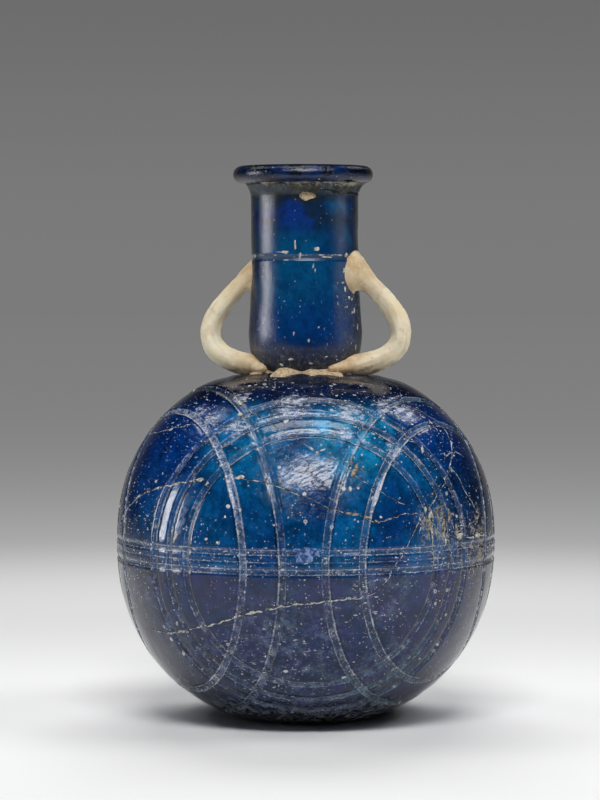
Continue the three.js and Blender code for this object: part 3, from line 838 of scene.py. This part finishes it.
HANDLE_BEND_RISE = 9.6 * MM
HANDLE_FOOT_RISE = 1.6 * MM
HANDLE_FOOT_RADIUS = 12.7 * MM
ROD_NECK = 2.15 * MM
ROD_FOOT = 3.1 * MM
HANDLE_PRESS = 2.4 * MM
PAD_LENGTH = 7.5 * MM
FOOT_HALF_WIDTH = 5.2 * MM
FOOT_LENGTH = 8.5 * MM
TAIL_RADIUS = 0.9 * MM
TAIL_REACH = 13.4 * MM
COIL_GRAIN = 0.26 * MM
COIL_SMOOTHING = 5
RIDGES = 4
RIDGE_HEIGHT = 0.14 * MM
STAIN_REACH = 10 * MM
HANDLES = (
    dict(node="handle_left", neck=-97, bend=-93, foot=-82, tail=-48, rise=24.1 * MM, reach=26.4 * MM,
         pad_width=4.8 * MM, pad_height=4.2 * MM),
    dict(node="handle_right", neck=72, bend=77, foot=66, tail=24, rise=24.6 * MM, reach=26.9 * MM,
         pad_width=6.0 * MM, pad_height=5.8 * MM),
)


def at(azimuth, radius, height):
    """A point at an azimuth from the front, a distance from the axis and a height."""
    return direction(azimuth, 0) * np.asarray(radius)[..., None] + np.multiply.outer(height, UP)


def handle_path(style):
    """Points along the middle of a coil, from inside the neck to inside its foot, and azimuths."""
    bend = style["reach"] - (ROD_NECK + ROD_FOOT) / 2
    start = NECK_RADIUS
    span = bend - start
    drop = style["rise"] - HANDLE_BEND_RISE
    fall = HANDLE_BEND_RISE - HANDLE_FOOT_RISE
    upper = bezier([
        (start, style["rise"]),
        (start + span * 0.36, style["rise"] - drop * 0.21),
        (bend, HANDLE_BEND_RISE + drop * 0.37),
        (bend, HANDLE_BEND_RISE),
    ], 40)
    lower = bezier([
        (bend, HANDLE_BEND_RISE),
        (bend, HANDLE_BEND_RISE - fall * 0.55),
        (bend - span * 0.4, HANDLE_FOOT_RISE + fall * 0.1),
        (HANDLE_FOOT_RADIUS, HANDLE_FOOT_RISE),
    ], 40)
    flat = np.concatenate([
        [(start - HANDLE_PRESS, style["rise"])], upper[:-1], lower,
        [(HANDLE_FOOT_RADIUS - HANDLE_PRESS, HANDLE_FOOT_RISE)],
    ])
    t = np.linspace(0, 1, len(flat))
    control = 2 * style["bend"] - (style["neck"] + style["foot"]) / 2
    azimuth = (1 - t) ** 2 * style["neck"] + 2 * (1 - t) * t * control + t**2 * style["foot"]
    return at(azimuth, flat[:, 0], SEAT + flat[:, 1]), azimuth


def coil(style):
    """Rings of a coil that is spread at both ends: middles, and half axes sideways and across."""
    middles, azimuths = handle_path(style)
    travelled = distances(middles)
    length = travelled[-1]
    along = unit(np.gradient(middles, axis=0))
    side = direction(azimuths + 90, 0)
    side = unit(side - along * (side * along).sum(1)[:, None])
    at_neck = np.clip(1 - (travelled - HANDLE_PRESS) / PAD_LENGTH, 0, 1) ** 3.2
    at_foot = np.clip(1 - (length - travelled - HANDLE_PRESS) / FOOT_LENGTH, 0, 1) ** 2
    round_radius = ROD_NECK + (ROD_FOOT - ROD_NECK) * travelled / length
    over = np.cross(along, side)
    over = unit(over + (UP - over) * at_neck[:, None])
    sideways = round_radius + (style["pad_width"] - round_radius) * at_neck \
        + (FOOT_HALF_WIDTH - round_radius) * at_foot
    across = round_radius + (style["pad_height"] - round_radius) * at_neck
    return middles, side * sideways[:, None], over * across[:, None]


def tail(style, count=24):
    """Rings of the tail that a coil's foot is drawn out to, round the foot of the neck."""
    share = np.linspace(0, 1, count)
    azimuth = style["foot"] + (style["tail"] - style["foot"]) * share
    radius = (ROD_FOOT + (TAIL_RADIUS - ROD_FOOT) * share)[:, None]
    reach = HANDLE_FOOT_RADIUS + (TAIL_REACH - HANDLE_FOOT_RADIUS) * share
    rise = HANDLE_FOOT_RISE + (TAIL_RADIUS - HANDLE_FOOT_RISE) * share
    middles = at(azimuth, reach, SEAT + rise)
    return middles, direction(azimuth, 0) * radius, UP * radius


def skin(rings, sides=32):
    """Points and faces of a closed skin over rings."""
    middles, side, over = rings
    angle = (np.arange(sides) * 2 * math.pi / sides)[:, None]
    points = middles[:, None] + side[:, None] * np.cos(angle) + over[:, None] * np.sin(angle)
    return points.reshape(-1, 3), capped_faces(len(middles), sides)


def ball(segments, rings):
    """Points and faces of a ball of radius 1."""
    angle = np.arange(segments) * 2 * math.pi / segments
    rise = np.linspace(-math.pi / 2 * 0.98, math.pi / 2 * 0.98, rings)
    around, up = np.meshgrid(angle, rise)
    points = np.stack([np.cos(up) * np.cos(around), np.cos(up) * np.sin(around), np.sin(up)], -1)
    return points.reshape(-1, 3), capped_faces(rings, segments)


def fuse(name, parts, material):
    """One lumpy solid out of overlapping closed meshes."""
    piece = make_object(name, *merged(parts), material, body=None)
    remesh = piece.modifiers.new("remesh", "REMESH")
    remesh.mode = "VOXEL"
    remesh.voxel_size = COIL_GRAIN
    smooth = piece.modifiers.new("smooth", "SMOOTH")
    smooth.factor = 0.5
    smooth.iterations = COIL_SMOOTHING
    graph = bpy.context.evaluated_depsgraph_get()
    mesh = bpy.data.meshes.new_from_object(piece.evaluated_get(graph), depsgraph=graph)
    piece.modifiers.clear()
    piece.data = mesh
    mesh.polygons.foreach_set("use_smooth", [True] * len(mesh.polygons))
    return piece


def points_of(piece):
    points = np.empty(len(piece.data.vertices) * 3, np.float32)
    piece.data.vertices.foreach_get("co", points)
    return points.reshape(-1, 3).astype(float)


def push(piece, amounts):
    """Moves a mesh's points out along its normals, each by its own amount."""
    mesh = piece.data
    normals = np.empty(len(mesh.vertices) * 3, np.float32)
    mesh.vertex_normals.foreach_get("vector", normals)
    points = points_of(piece) + normals.reshape(-1, 3) * amounts[:, None]
    mesh.vertices.foreach_set("co", points.astype(np.float32).ravel())
    mesh.update()


def store(piece, name, values):
    """Keeps a number for each of a mesh's points, for its material to read."""
    layer = piece.data.attributes.new(name, "FLOAT", "POINT")
    layer.data.foreach_set("value", values.astype(np.float32))


def make_handle(style, material):
    rings = coil(style)
    piece = fuse(style["node"] + "_coil", [skin(rings), skin(tail(style))], material)

    # Where each point lies along and around the coil, and how near to its pressed ends
    points = points_of(piece)
    middles, side, over = rings
    nearest = np.argmin(((points[:, None] - middles[None, ::2]) ** 2).sum(-1), axis=1) * 2
    away = points - middles[nearest]
    around = np.arctan2((away * unit(over)[nearest]).sum(1), (away * unit(side)[nearest]).sum(1))
    travelled = distances(middles)
    along = travelled[nearest] + (away * unit(np.gradient(middles, axis=0))[nearest]).sum(1)
    to_end = np.minimum(along, travelled[-1] - along)
    calm = np.clip((to_end - 5 * MM) / (8 * MM), 0, 1)
    ridges = np.cos(RIDGES * around + 1.4 * np.sin(along / (6 * MM))) * calm
    uneven = 0.06 * MM * waves(points, 6 * MM, 31) + 0.04 * MM * waves(points, 1.8 * MM, 32)
    push(piece, uneven + RIDGE_HEIGHT * (ridges - 1))
    store(piece, "around", around)
    store(piece, "along", along)
    store(piece, "ends", np.clip(1 - (to_end - HANDLE_PRESS) / STAIN_REACH, 0, 1))
    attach(piece, "root")
    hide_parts(style["node"])


# Cracks, crusts and chips

def evenly(points, step):
    """Points a step apart along a chain of points."""
    reach = distances(points)
    along = np.arange(0, reach[-1], step)
    return np.stack([np.interp(along, reach, points[:, k]) for k in range(3)], -1)


def settle_on_body(points):
    """The nearest points of the body's cut and worn outside, and the ways out from it there."""
    towards = unit(points - CENTRE)
    outside = body_point(towards)
    flat = outside - CENTRE
    half = np.where(flat[..., 2] > 0, SHOULDER_RISE, BELLY_DROP)
    across = np.hypot(flat[..., 0], flat[..., 1])
    slope = (across / BODY_RADIUS) ** (ROUNDNESS - 1) / BODY_RADIUS / np.maximum(across, 1e-9)
    lift = np.sign(flat[..., 2]) * (np.abs(flat[..., 2]) / half) ** (ROUNDNESS - 1) / half
    out = unit(np.stack([flat[..., 0] * slope, flat[..., 1] * slope, lift], -1))
    return outside - towards * body_relief(towards, outside)[..., None], out


def body_route(corners, waver, seed):
    """Points along a crack through (azimuth, elevation) corners on the body, and the ways out."""
    azimuth, elevation = np.array(corners, float).T
    route = evenly(body_point(direction(azimuth, elevation)), CRACK_STEP)
    shake = np.stack([waves(route, CRACK_LUMP, seed + k) for k in range(3)], -1)
    return settle_on_body(route + shake * waver)


def neck_route(corners, waver, seed):
    """The same on the neck, through corners: azimuth, and height above its foot in mm."""
    azimuth, rise = np.array(corners, float).T * np.array([[1], [MM]])
    route = evenly(at(azimuth, neck_radius_at(rise), NECK_FOOT + rise), CRACK_STEP)
    route[:, 2] += waves(route, CRACK_LUMP, seed) * waver
    out = unit(route * LEVEL)
    return out * neck_radius_at(route[:, 2] - NECK_FOOT)[:, None] + route * UP, out


def strip(route, width, height, seed, shift=0.0):
    """Points and faces of a low closed bead along a route, ragged in width and pointed at its ends."""
    points, out = route
    along = unit(np.gradient(points, axis=0))
    side = unit(np.cross(out, along))
    share = np.clip(0.55 + 0.6 * waves(points, CRACK_LUMP * 1.2, seed + 50), 0.12, 1.4)
    ends = np.minimum(np.arange(len(points)), np.arange(len(points))[::-1]) / 6
    half = (width / 2 * share * np.clip(ends, 0.05, 1))[:, None]
    centre = points + side * (shift + 0 * half)
    rows = [
        centre - side * half - out * SINK,
        centre - side * half * 0.6 + out * height * 0.7,
        centre + out * height,
        centre + side * half * 0.6 + out * height * 0.7,
        centre + side * half - out * SINK,
    ]
    return np.stack(rows, 1).reshape(-1, 3), capped_faces(len(points), len(rows))


def scab(place, out, length, width, height, tilt, seed, segments=14, rings=7, rough=1.0):
    """Points and faces of a flat ragged lens that lies on a surface. Its sizes are in mm."""
    level = unit(np.cross(UP, out))
    up = np.cross(out, level)
    c, s = math.cos(math.radians(tilt)), math.sin(math.radians(tilt))
    long_way = level * c + up * s
    short_way = up * c - level * s
    points, faces = ball(segments, rings)
    ragged = 1 + rough * (0.22 * waves(points, 1.6, seed) + 0.1 * waves(points, 0.6, seed + 1))
    points = points * ragged[:, None]
    axes = np.stack([long_way * length / 2, short_way * width / 2, out * height]) * MM
    return place + points @ axes, faces


def gather(name, parts, material):
    """One object out of separate closed meshes."""
    make_object(name, *merged(parts), material)


def chips_on(settle, chips, height, seed):
    """Scabs of a height in mm at places that are settled on the glass."""
    return [
        scab(*settle(azimuth, rise), length, width, height, tilt, seed + number)
        for number, (azimuth, rise, length, width, tilt) in enumerate(chips)
    ]


CRACK_STEP = 0.3 * MM
CRACK_LUMP = 2.4 * MM
SINK = 0.25 * MM
FILL_HEIGHT = 0.06 * MM
SHADOW_WIDTH = 0.40 * MM
SHADOW_HEIGHT = 0.03 * MM
STREAK_HEIGHT = 0.10 * MM

# Thickness of the chips in mm, as in their tables
CHIP_HEIGHT = 0.12
NECK_CHIP_HEIGHT = 0.10

# Each crack: its corners as (azimuth, elevation) in degrees, and the width of its pale fill in mm
CRACKS = dict(
    upper_left=([
        (-75, 6), (-71.5, 9.4), (-67.5, 11.5), (-63.7, 13.9), (-59, 16), (-54.5, 17.4), (-48, 19),
        (-44, 19.8), (-40, 20.6), (-36, 21.1), (-31.5, 21.4),
    ], 0.75),
    upper_middle=([
        (-22.5, 22.4), (-20.2, 22.5), (-18, 21.6), (-16.6, 22), (-13.3, 21.4), (-9.2, 20), (-4.6, 18.6),
        (-1.6, 17.2), (2, 16.3), (4.8, 14.6), (8.6, 13.1), (11.5, 12.5), (16, 11.6), (20.4, 9.5),
        (24, 9.9), (27.6, 10.9), (30.3, 11.7), (33, 11.3), (37.6, 11.9),
    ], 0.30),
    thread=([
        (-55, 57.5), (-43.5, 55), (-33, 50.1), (-22.6, 45), (-16.2, 41.5), (-11.8, 39.2), (-7.4, 37.1),
        (-3.3, 35.4), (1.8, 31.7),
    ], 0.22),
    middle_right=([
        (11.9, 25.6), (14.6, 23.8), (17.5, 21.6), (20.5, 19.8), (23.5, 18), (26, 16.4), (29, 14.9),
        (32.4, 13.9),
    ], 0.18),
    rising=([
        (37.6, 11.9), (40.3, 13.8), (42.8, 15.7), (45.7, 17.9), (49.2, 20.7), (52.3, 23.6), (55.4, 26.3),
        (58.6, 29.1), (61.7, 32.3), (63, 35.8), (62.8, 39), (58, 43), (52, 46), (43, 49),
    ], 0.45),
    falling=([
        (37.6, 11.9), (35.4, 9.7), (33, 6.2), (31, 3.4), (29.4, 0.6), (27.4, -2.1), (25.5, -4.6),
        (23.5, -8), (21, -10.5),
    ], 0.38),
    right_loop=([
        (53.8, 24.2), (56, 21.3), (57.5, 17.5), (59.6, 14.1), (62, 11.6), (63.3, 9.4), (63, 8.3),
        (57.5, 7.2), (53, 5.8), (49.3, 4.9),
    ], 0.45),
    right_level=([(46.5, 4.5), (49.7, 4), (53, 3.5), (57, 3.2), (62, 3.1), (66, 3.1), (71, 4)], 0.7),
    right_spur=([(52.2, 27.4), (56, 28.5), (62, 28.9), (66, 27)], 0.5),
    lower=([
        (-59.6, -24.6), (-54, -25.3), (-47.3, -25), (-41, -23.5), (-36, -22.1), (-31, -21.2),
        (-28, -20.4), (-24, -18.9), (-20, -17.5), (-16, -16.5), (-11.6, -15.5), (-7.4, -14.5),
        (-3, -13.8), (1.3, -13.5), (5.6, -13), (10, -12.5), (15, -12.2), (21, -10.5),
    ], 0.85),
    left_edge=([(-81, 33.7), (-69, 35.4), (-61.6, 36.6), (-56, 38), (-50.5, 38.9), (-48, 39.4)], 0.35),
)

# Ragged pale and brown spots: azimuth, elevation, length and width in mm, tilt in degrees
PALE_CHIPS = (
    (-44, 19.6, 2.2, 0.7, 12), (-34.5, 21.5, 1.8, 1.1, 0), (-32, 20.6, 1.0, 0.9, 60),
    (-21, 22.6, 2.3, 0.9, 5), (1.8, 31.9, 1.2, 0.6, -35), (3.8, 30.4, 1.0, 0.6, 90),
    (5.6, 31.3, 1.3, 0.4, 25), (-54, 20, 1.0, 0.6, 20), (-62, 15, 1.6, 0.6, 35),
    (13.4, 19.4, 1.3, 0.9, 80), (20.3, 16.6, 1.1, 0.8, 40), (43, 30.5, 1.9, 0.8, 65),
    (-60, 36.7, 1.6, 0.7, 10), (-45.7, -31.5, 1.8, 0.9, 70), (-43.9, -21.5, 1.2, 0.8, 60),
    (-41, -24, 1.5, 0.6, 10), (-16, -16.4, 2.0, 0.7, 10), (-3, -13.6, 1.6, 0.6, 5),
    (61.5, 32, 1.5, 0.6, 50), (49, 21, 1.3, 0.7, 45), (38, 12.5, 1.7, 1.0, 30), (52, 4.2, 2.6, 1.2, 5),
    (62, 3.4, 2.8, 0.9, 0), (-26, 3.5, 1.0, 0.8, 0), (-30, 4.4, 0.9, 0.7, 0), (-58, -1.5, 1.2, 0.7, 10),
    (57, 40, 1.8, 0.6, -40), (-31, 49, 2.6, 1.3, -30), (-28, 44, 2.2, 1.0, -20),
)
BROWN_CHIPS = (
    (15.5, 24.7, 3.4, 1.1, 65), (14.6, 27.2, 1.5, 0.9, 70), (53.5, 23.5, 1.6, 1.0, -60),
    (40.5, 10.2, 2.4, 1.0, 75), (44.4, 7.0, 3.4, 1.1, 82), (47.5, 10.5, 3.6, 1.0, 84),
    (50.2, 5.6, 3.0, 0.9, 85), (38.6, 7.6, 3.6, 0.8, 88), (42.2, 12.0, 2.0, 0.9, 40),
    (-8, 21.5, 0.8, 0.7, 0), (-12, 22.2, 0.9, 0.6, 0), (13.5, 12.1, 3.4, 0.7, -4),
    (17.5, 11.1, 3.0, 0.8, -14), (21, 9.7, 1.6, 0.5, -30), (24.5, 10.2, 2.2, 0.5, 12),
)

# Upright streaks of the damaged place at the right: corners, width in mm, and whether pale
DAMAGE = (
    ([(35.8, 12.5), (35.6, 9.0), (34.6, 6.0)], 0.8, True),
    ([(38.2, 12.4), (38.0, 8.5), (37.6, 4.0)], 0.9, False),
    ([(39.6, 13.5), (40.4, 9.5), (40.2, 5.5), (39.8, 1.5)], 1.1, True),
    ([(41.8, 12.8), (42.6, 8.0), (42.4, 3.0)], 0.8, False),
    ([(43.6, 12.0), (44.8, 7.0), (44.9, 1.0)], 1.2, True),
    ([(46.2, 9.5), (46.9, 5.0), (46.8, 1.0)], 0.7, False),
    ([(48.6, 8.5), (49.4, 4.5), (49.4, 2.0)], 0.7, True),
    ([(52.5, 7.0), (53.4, 4.5), (53.6, 2.2)], 0.6, False),
)
# The bruise on the middle of the band and the long glint beside it: azimuth, elevation, length,
# width and height in mm
BRUISES = (
    (0.4, 0.6, 6.4, 4.3, 0.34),
    (-2.6, 1.8, 2.6, 1.0, 0.36),
    (10.8, 0.5, 7.6, 0.7, 0.16),
    (-21.5, 0.9, 2.4, 1.1, 0.2),
)


def on_body(azimuth, elevation):
    """A place on the body's outside, and the way out."""
    return settle_on_body(body_point(direction(azimuth, elevation)))


def make_cracks(pale, dark, brown, filled, bruised):
    fills, shadows = [], []
    for seed, (corners, width) in enumerate(CRACKS.values()):
        route = body_route(corners, 0.14 * MM, 100 + seed)
        fills.append(strip(route, width * 0.9 * MM, FILL_HEIGHT, 200 + seed))
        shift = (width * 0.3 + 0.05) * MM
        shadows.append(strip(route, SHADOW_WIDTH, SHADOW_HEIGHT, 300 + seed, shift))
    gather("crack_fill", fills, filled)
    gather("crack_shadow", shadows, dark)
    gather("chips_pale", chips_on(on_body, PALE_CHIPS, CHIP_HEIGHT, 400), pale)
    gather("chips_brown", chips_on(on_body, BROWN_CHIPS, CHIP_HEIGHT, 400), brown)
    for name, wanted, material in (("damage_pale", True, filled), ("damage_brown", False, brown)):
        streaks = [
            strip(body_route(corners, 0.25 * MM, 600 + seed), width * MM, STREAK_HEIGHT, 620 + seed)
            for seed, (corners, width, is_pale) in enumerate(DAMAGE) if is_pale is wanted
        ]
        gather(name, streaks, material)
    gather("band_bruises", [
        scab(*on_body(azimuth, elevation), length, width, height, 4, 640 + seed, 36, 17, 0.45)
        for seed, (azimuth, elevation, length, width, height) in enumerate(BRUISES)
    ], bruised)


# The neck's own chips: azimuth, height above its foot, length and width in mm, tilt in degrees
NECK_CHIPS = (
    (-25, 29.6, 3.2, 0.9, 0), (-11, 31.2, 2.8, 0.5, 90), (-6, 28.6, 1.8, 0.5, 80),
    (22, 28.3, 3.0, 0.3, 0), (-70, 28.6, 1.6, 1.0, 0), (8, 26.2, 1.1, 0.4, 80),
    (10, 25.0, 1.0, 0.35, 85), (12, 30.3, 1.4, 1.0, 30), (3, 7.9, 0.9, 0.6, 80),
    (-12, 9.5, 1.0, 0.4, 85), (-16, 3.2, 1.3, 0.5, 5), (6, 2.2, 1.0, 0.5, -5), (22, 3.8, 0.9, 0.4, 20),
    (-28, 1.8, 1.1, 0.5, -30), (60, 15, 1.3, 0.6, 80), (66, 11, 1.6, 0.6, 85), (63, 6, 1.2, 0.5, 70),
    (57, 18, 1.0, 0.5, 60), (45, 25.0, 1.2, 0.8, 70), (43, 22.0, 0.8, 0.5, 20),
    (46, 20.3, 1.6, 0.6, 100), (52, 18.2, 1.0, 0.8, 110), (48, 28.8, 1.2, 0.8, 30),
    (57, 14.6, 0.8, 0.4, 80), (48, 16.0, 0.6, 0.4, 40),
)


def on_neck(azimuth, rise):
    """A place on the neck's outside at a rise in mm above its foot, and the way out."""
    place = at(azimuth, neck_radius_at(rise * MM), NECK_FOOT + rise * MM)
    return place, unit(place * LEVEL)


# The fillets under the rim and round the neck's foot: rows of radius and rise, in mm, of which
# the first is the corner that the others draw back to where the fillet is thin
RIM_FILLET = (
    (13.0, 0.1), (16.2, 0.1), (15.4, -0.4), (14.8, -0.8), (14.4, -1.3), (14.0, -2.0), (13.6, -2.9),
    (12.9, -3.1),
)
FOOT_FILLET = (
    (9.6, -0.4), (9.6, 2.3), (11.6, 1.7), (12.9, 1.1), (14.4, 0.45), (16.0, -0.3), (17.6, -1.0),
    (18.4, -1.8), (17.4, -2.4),
)

# A painted shadow under the rim: a dark line, as azimuths and heights above the neck's foot in mm,
# and the lump beside it in front: its height above the foot, and its length, width and thickness
RIM_SHADOW_LINE = (
    (-90, 43.4), (-72, 43.6), (-58, 43.9), (-45, 44.5), (-30, 44.9), (-15, 45.1), (5, 45.0), (25, 44.7),
    (45, 44.3), (70, 43.9), (90, 43.7),
)
RIM_LUMP_RISE = 43.2
RIM_LUMP = (3.4, 2.2, 0.4)


def fillet(rows, base, least, seed, segments=360):
    """Points and faces of a ragged closed ring with rows above a base height."""
    ways = direction(np.arange(segments) * 360 / segments, 0)
    size = np.clip(0.72 + 0.26 * waves(ways, 0.5, seed) + 0.08 * waves(ways, 0.30, seed + 1), least, 1.0)
    corner = np.array(rows[0])
    grid = []
    for row in rows:
        radius, rise = corner[:, None] + (np.array(row) - corner)[:, None] * size
        grid.append(ways * (radius * MM)[:, None] + np.multiply.outer(base + rise * MM, UP))
    return np.concatenate(grid), grid_faces(len(rows), segments, wrap_rows=True)


def make_neck_deposits(pale, dark, dirt_and_shade, tan):
    gather("rim_deposit", [fillet(RIM_FILLET, RIM_FOOT, 0.3, 51)], dirt_and_shade)
    shadow_line = neck_route(RIM_SHADOW_LINE, 0.12 * MM, 61)
    # Painted shadow: a dark line on the neck right under the rim
    gather("rim_shadow_line", [strip(shadow_line, 0.5 * MM, 0.05 * MM, 62)], dark)
    gather("rim_lump", [scab(*on_neck(0, RIM_LUMP_RISE), *RIM_LUMP, 8, 63, 20, 11)], tan)
    gather("foot_fill", [fillet(FOOT_FILLET, SEAT, 0.45, 71)], tan)
    gather("neck_chips", chips_on(on_neck, NECK_CHIPS, NECK_CHIP_HEIGHT, 500), pale)


# Stage, light and camera

CAMERA_DISTANCE = 740 * MM
CAMERA_HEIGHT = 111.9 * MM
CAMERA_SIDE = -1.4 * MM
FOCAL_PIXELS = 2960
PICTURE_HEIGHT = 800
HORIZON_ROW = 268
SENSOR = 36.0

# Lamps that only the gloss sees, and lamps that only light the colours: azimuth, elevation,
# distance, width and height in metres, radiance. All face one point of the flask.
LAMP_TARGET = (0, 0, 0.06)
GLOSS_LAMPS = (
    ("front_top", 4.5, 43, 1.1, 0.62, 0.37, 13.0),
    ("overhead_bank", -8, 83, 1.0, 0.75, 0.20, 6.0),
    ("left_back_top", -118, 49, 1.1, 0.30, 0.15, 5.5),
    ("right_back_top", 133, 43, 1.1, 0.30, 0.15, 5.0),
    ("left_strip", -90, 7, 1.0, 0.22, 0.38, 12.0),
    ("right_strip", 84, 3, 1.1, 0.18, 0.15, 4.0),
)
FILL_LAMPS = (
    ("fill_front", 0, 56, 1.2, 0.60, 0.16, 27.0),
    ("fill_back_top", 180, 52, 1.3, 0.9, 0.5, 6.4),
    ("fill_left", -105, 50, 1.2, 0.5, 0.5, 2.8),
    ("fill_right", 90, 48, 1.2, 0.5, 0.5, 4.1),
)


def make_camera():
    camera = bpy.data.objects.new("camera", bpy.data.cameras.new("camera"))
    bpy.context.scene.collection.objects.link(camera)
    camera.data.sensor_fit = "VERTICAL"
    camera.data.sensor_height = SENSOR
    camera.data.lens = SENSOR * FOCAL_PIXELS / PICTURE_HEIGHT
    camera.data.clip_start = 0.01
    camera.data.clip_end = 100
    pitch = math.atan((PICTURE_HEIGHT / 2 - HORIZON_ROW) / FOCAL_PIXELS)
    camera.location = (CAMERA_SIDE, -CAMERA_DISTANCE, CAMERA_HEIGHT)
    camera.rotation_euler = (math.pi / 2 - pitch, 0, 0)
    bpy.context.scene.camera = camera


def light_at(name, azimuth, elevation, distance, width, height, radiance):
    """A soft rectangular lamp in a direction from the flask, facing it."""
    data = bpy.data.lights.new(name, "AREA")
    data.shape = "RECTANGLE"
    data.size, data.size_y = width, height
    data.energy = radiance * math.pi * width * height
    lamp = bpy.data.objects.new(name, data)
    bpy.context.scene.collection.objects.link(lamp)
    way = Vector(direction(azimuth, elevation))
    lamp.location = Vector(LAMP_TARGET) + way * distance
    lamp.rotation_euler = (-way).to_track_quat("-Z", "Y").to_euler()
    lamp.visible_camera = False
    return lamp


def make_lights():
    for lamp in GLOSS_LAMPS:
        light_at(*lamp).visible_diffuse = False
    for lamp in FILL_LAMPS:
        light_at(*lamp).visible_glossy = False


FLOOR_WHITE = 0.90
FLOOR_BACK = 0.70
FLOOR_DARK = 0.02
FLOOR_HALF = 6.0

# Where the table darkens to the front and to the back, and where it turns into the sweep, which
# glows: a steady grey, and glows with the distance over which they fade and their strength
FRONT_FADE = (-0.21, -0.24)
BACK_FADE = (0.0, 0.22)
SWEEP_FADE = (0.22, 0.50)
SWEEP_START = 0.2
SWEEP_GREY = 0.2
SWEEP_GLOWS = ((0.30, 0.43), (2.0, 0.035))
BACKDROP_NEAR = 0.198
BACKDROP_FAR = 0.142


def make_floor():
    """A pale table that runs back into a grey sweep, seen as such by the eye and by the gloss."""
    s = Shader("pale_floor")
    back = s.node("SeparateXYZ", {0: s.place}, "Y")
    radius = s.vector("LENGTH", s.stretched(s.place, 1.0, 1.0, 0.0))
    rays = [s.node("LightPath", output=f"Is {kind} Ray") for kind in ("Camera", "Glossy", "Transmission")]
    unseen_front = s.ramp(back, *FRONT_FADE) * rays[1]
    s.colour = s.blend(s.ramp(back, *BACK_FADE), (FLOOR_WHITE,) * 3, (FLOOR_BACK,) * 3)
    s.paint((FLOOR_DARK,) * 3, unseen_front)
    s.set(Base_Color=s.colour, Roughness=0.9, Specular_IOR_Level=0.0)

    # The sweep gives its own light, which fades with the distance
    grey = SWEEP_GREY
    for fade, strength in SWEEP_GLOWS:
        grey = s.math("EXPONENT", (radius - SWEEP_START) * (-1 / fade)) * strength + grey
    glow = s.node("Emission", {"Color": (1, 1, 1), "Strength": grey})
    far = s.ramp(radius, *SWEEP_FADE) * s.most(*rays) * (1.0 - unseen_front)
    mixed = s.node("MixShader", {0: far, 1: Field(s, s.surface.outputs[0]), 2: glow})
    s.feed(s.tree.nodes["Material Output"].inputs["Surface"], mixed)
    corners = [(x * FLOOR_HALF, y * FLOOR_HALF, 0) for x, y in ((-1, -1), (1, -1), (1, 1), (-1, 1))]
    floor = make_object("floor", corners, [[0, 1, 2, 3]], s.material, body=None, smooth=False)


def make_world():
    """A grey studio that is darker overhead, and dark but for its back."""
    world = bpy.data.worlds.new("studio")
    bpy.context.scene.world = world
    world.use_nodes = True
    s = Nodes(world.node_tree)
    way = s.node("TexCoord", output="Generated")
    up, back = (s.node("SeparateXYZ", {0: way}, axis) for axis in "ZY")
    grey = s.mix(s.ramp(up, 0.0, 0.12), BACKDROP_NEAR, BACKDROP_FAR)
    ceiling = s.mix(s.ramp(up, 0.12, 0.4), 1.0, 0.15)
    behind = s.mix(s.ramp(back, 0.72, 0.97), 0.10, 1.0)
    background = s.tree.nodes["Background"]
    s.feed(background.inputs["Color"], (1, 1, 1))
    s.feed(background.inputs["Strength"], grey * ceiling * behind)


# Looks of the crusts and fillings: pale and dark colour, and where the noise turns from one to
# the other
CRUSTS = dict(
    pale_crust=((0.72, 0.72, 0.65), (0.24, 0.23, 0.20), 0.35, 0.62),
    brown_crust=((0.46, 0.41, 0.31), (0.05, 0.05, 0.05), 0.42, 0.58),
    crack_dark=((0.012, 0.014, 0.02), (0.004, 0.005, 0.008), 0.35, 0.62),
    crack_fill=((0.68, 0.70, 0.66), (0.05, 0.05, 0.055), 0.43, 0.54),
    tan_crust=((0.76, 0.58, 0.36), (0.36, 0.27, 0.17), 0.38, 0.58),
)


def main():
    make_body(body_glass())
    make_neck(neck_glass())
    make_rim(rim_glass())
    for style in HANDLES:
        make_handle(style, cream_glass("cream_glass_" + style["node"]))
    crusts = {name: crust_material(name, *look) for name, look in CRUSTS.items()}
    pale, brown, dark, filled, tan = crusts.values()
    make_cracks(pale, dark, brown, filled, bruised_glass())
    make_neck_deposits(pale, dark, corner_dirt_and_shade(), tan)
    make_floor()
    make_world()
    make_lights()
    make_camera()
    bpy.context.scene.view_settings.view_transform = "Standard"


main()
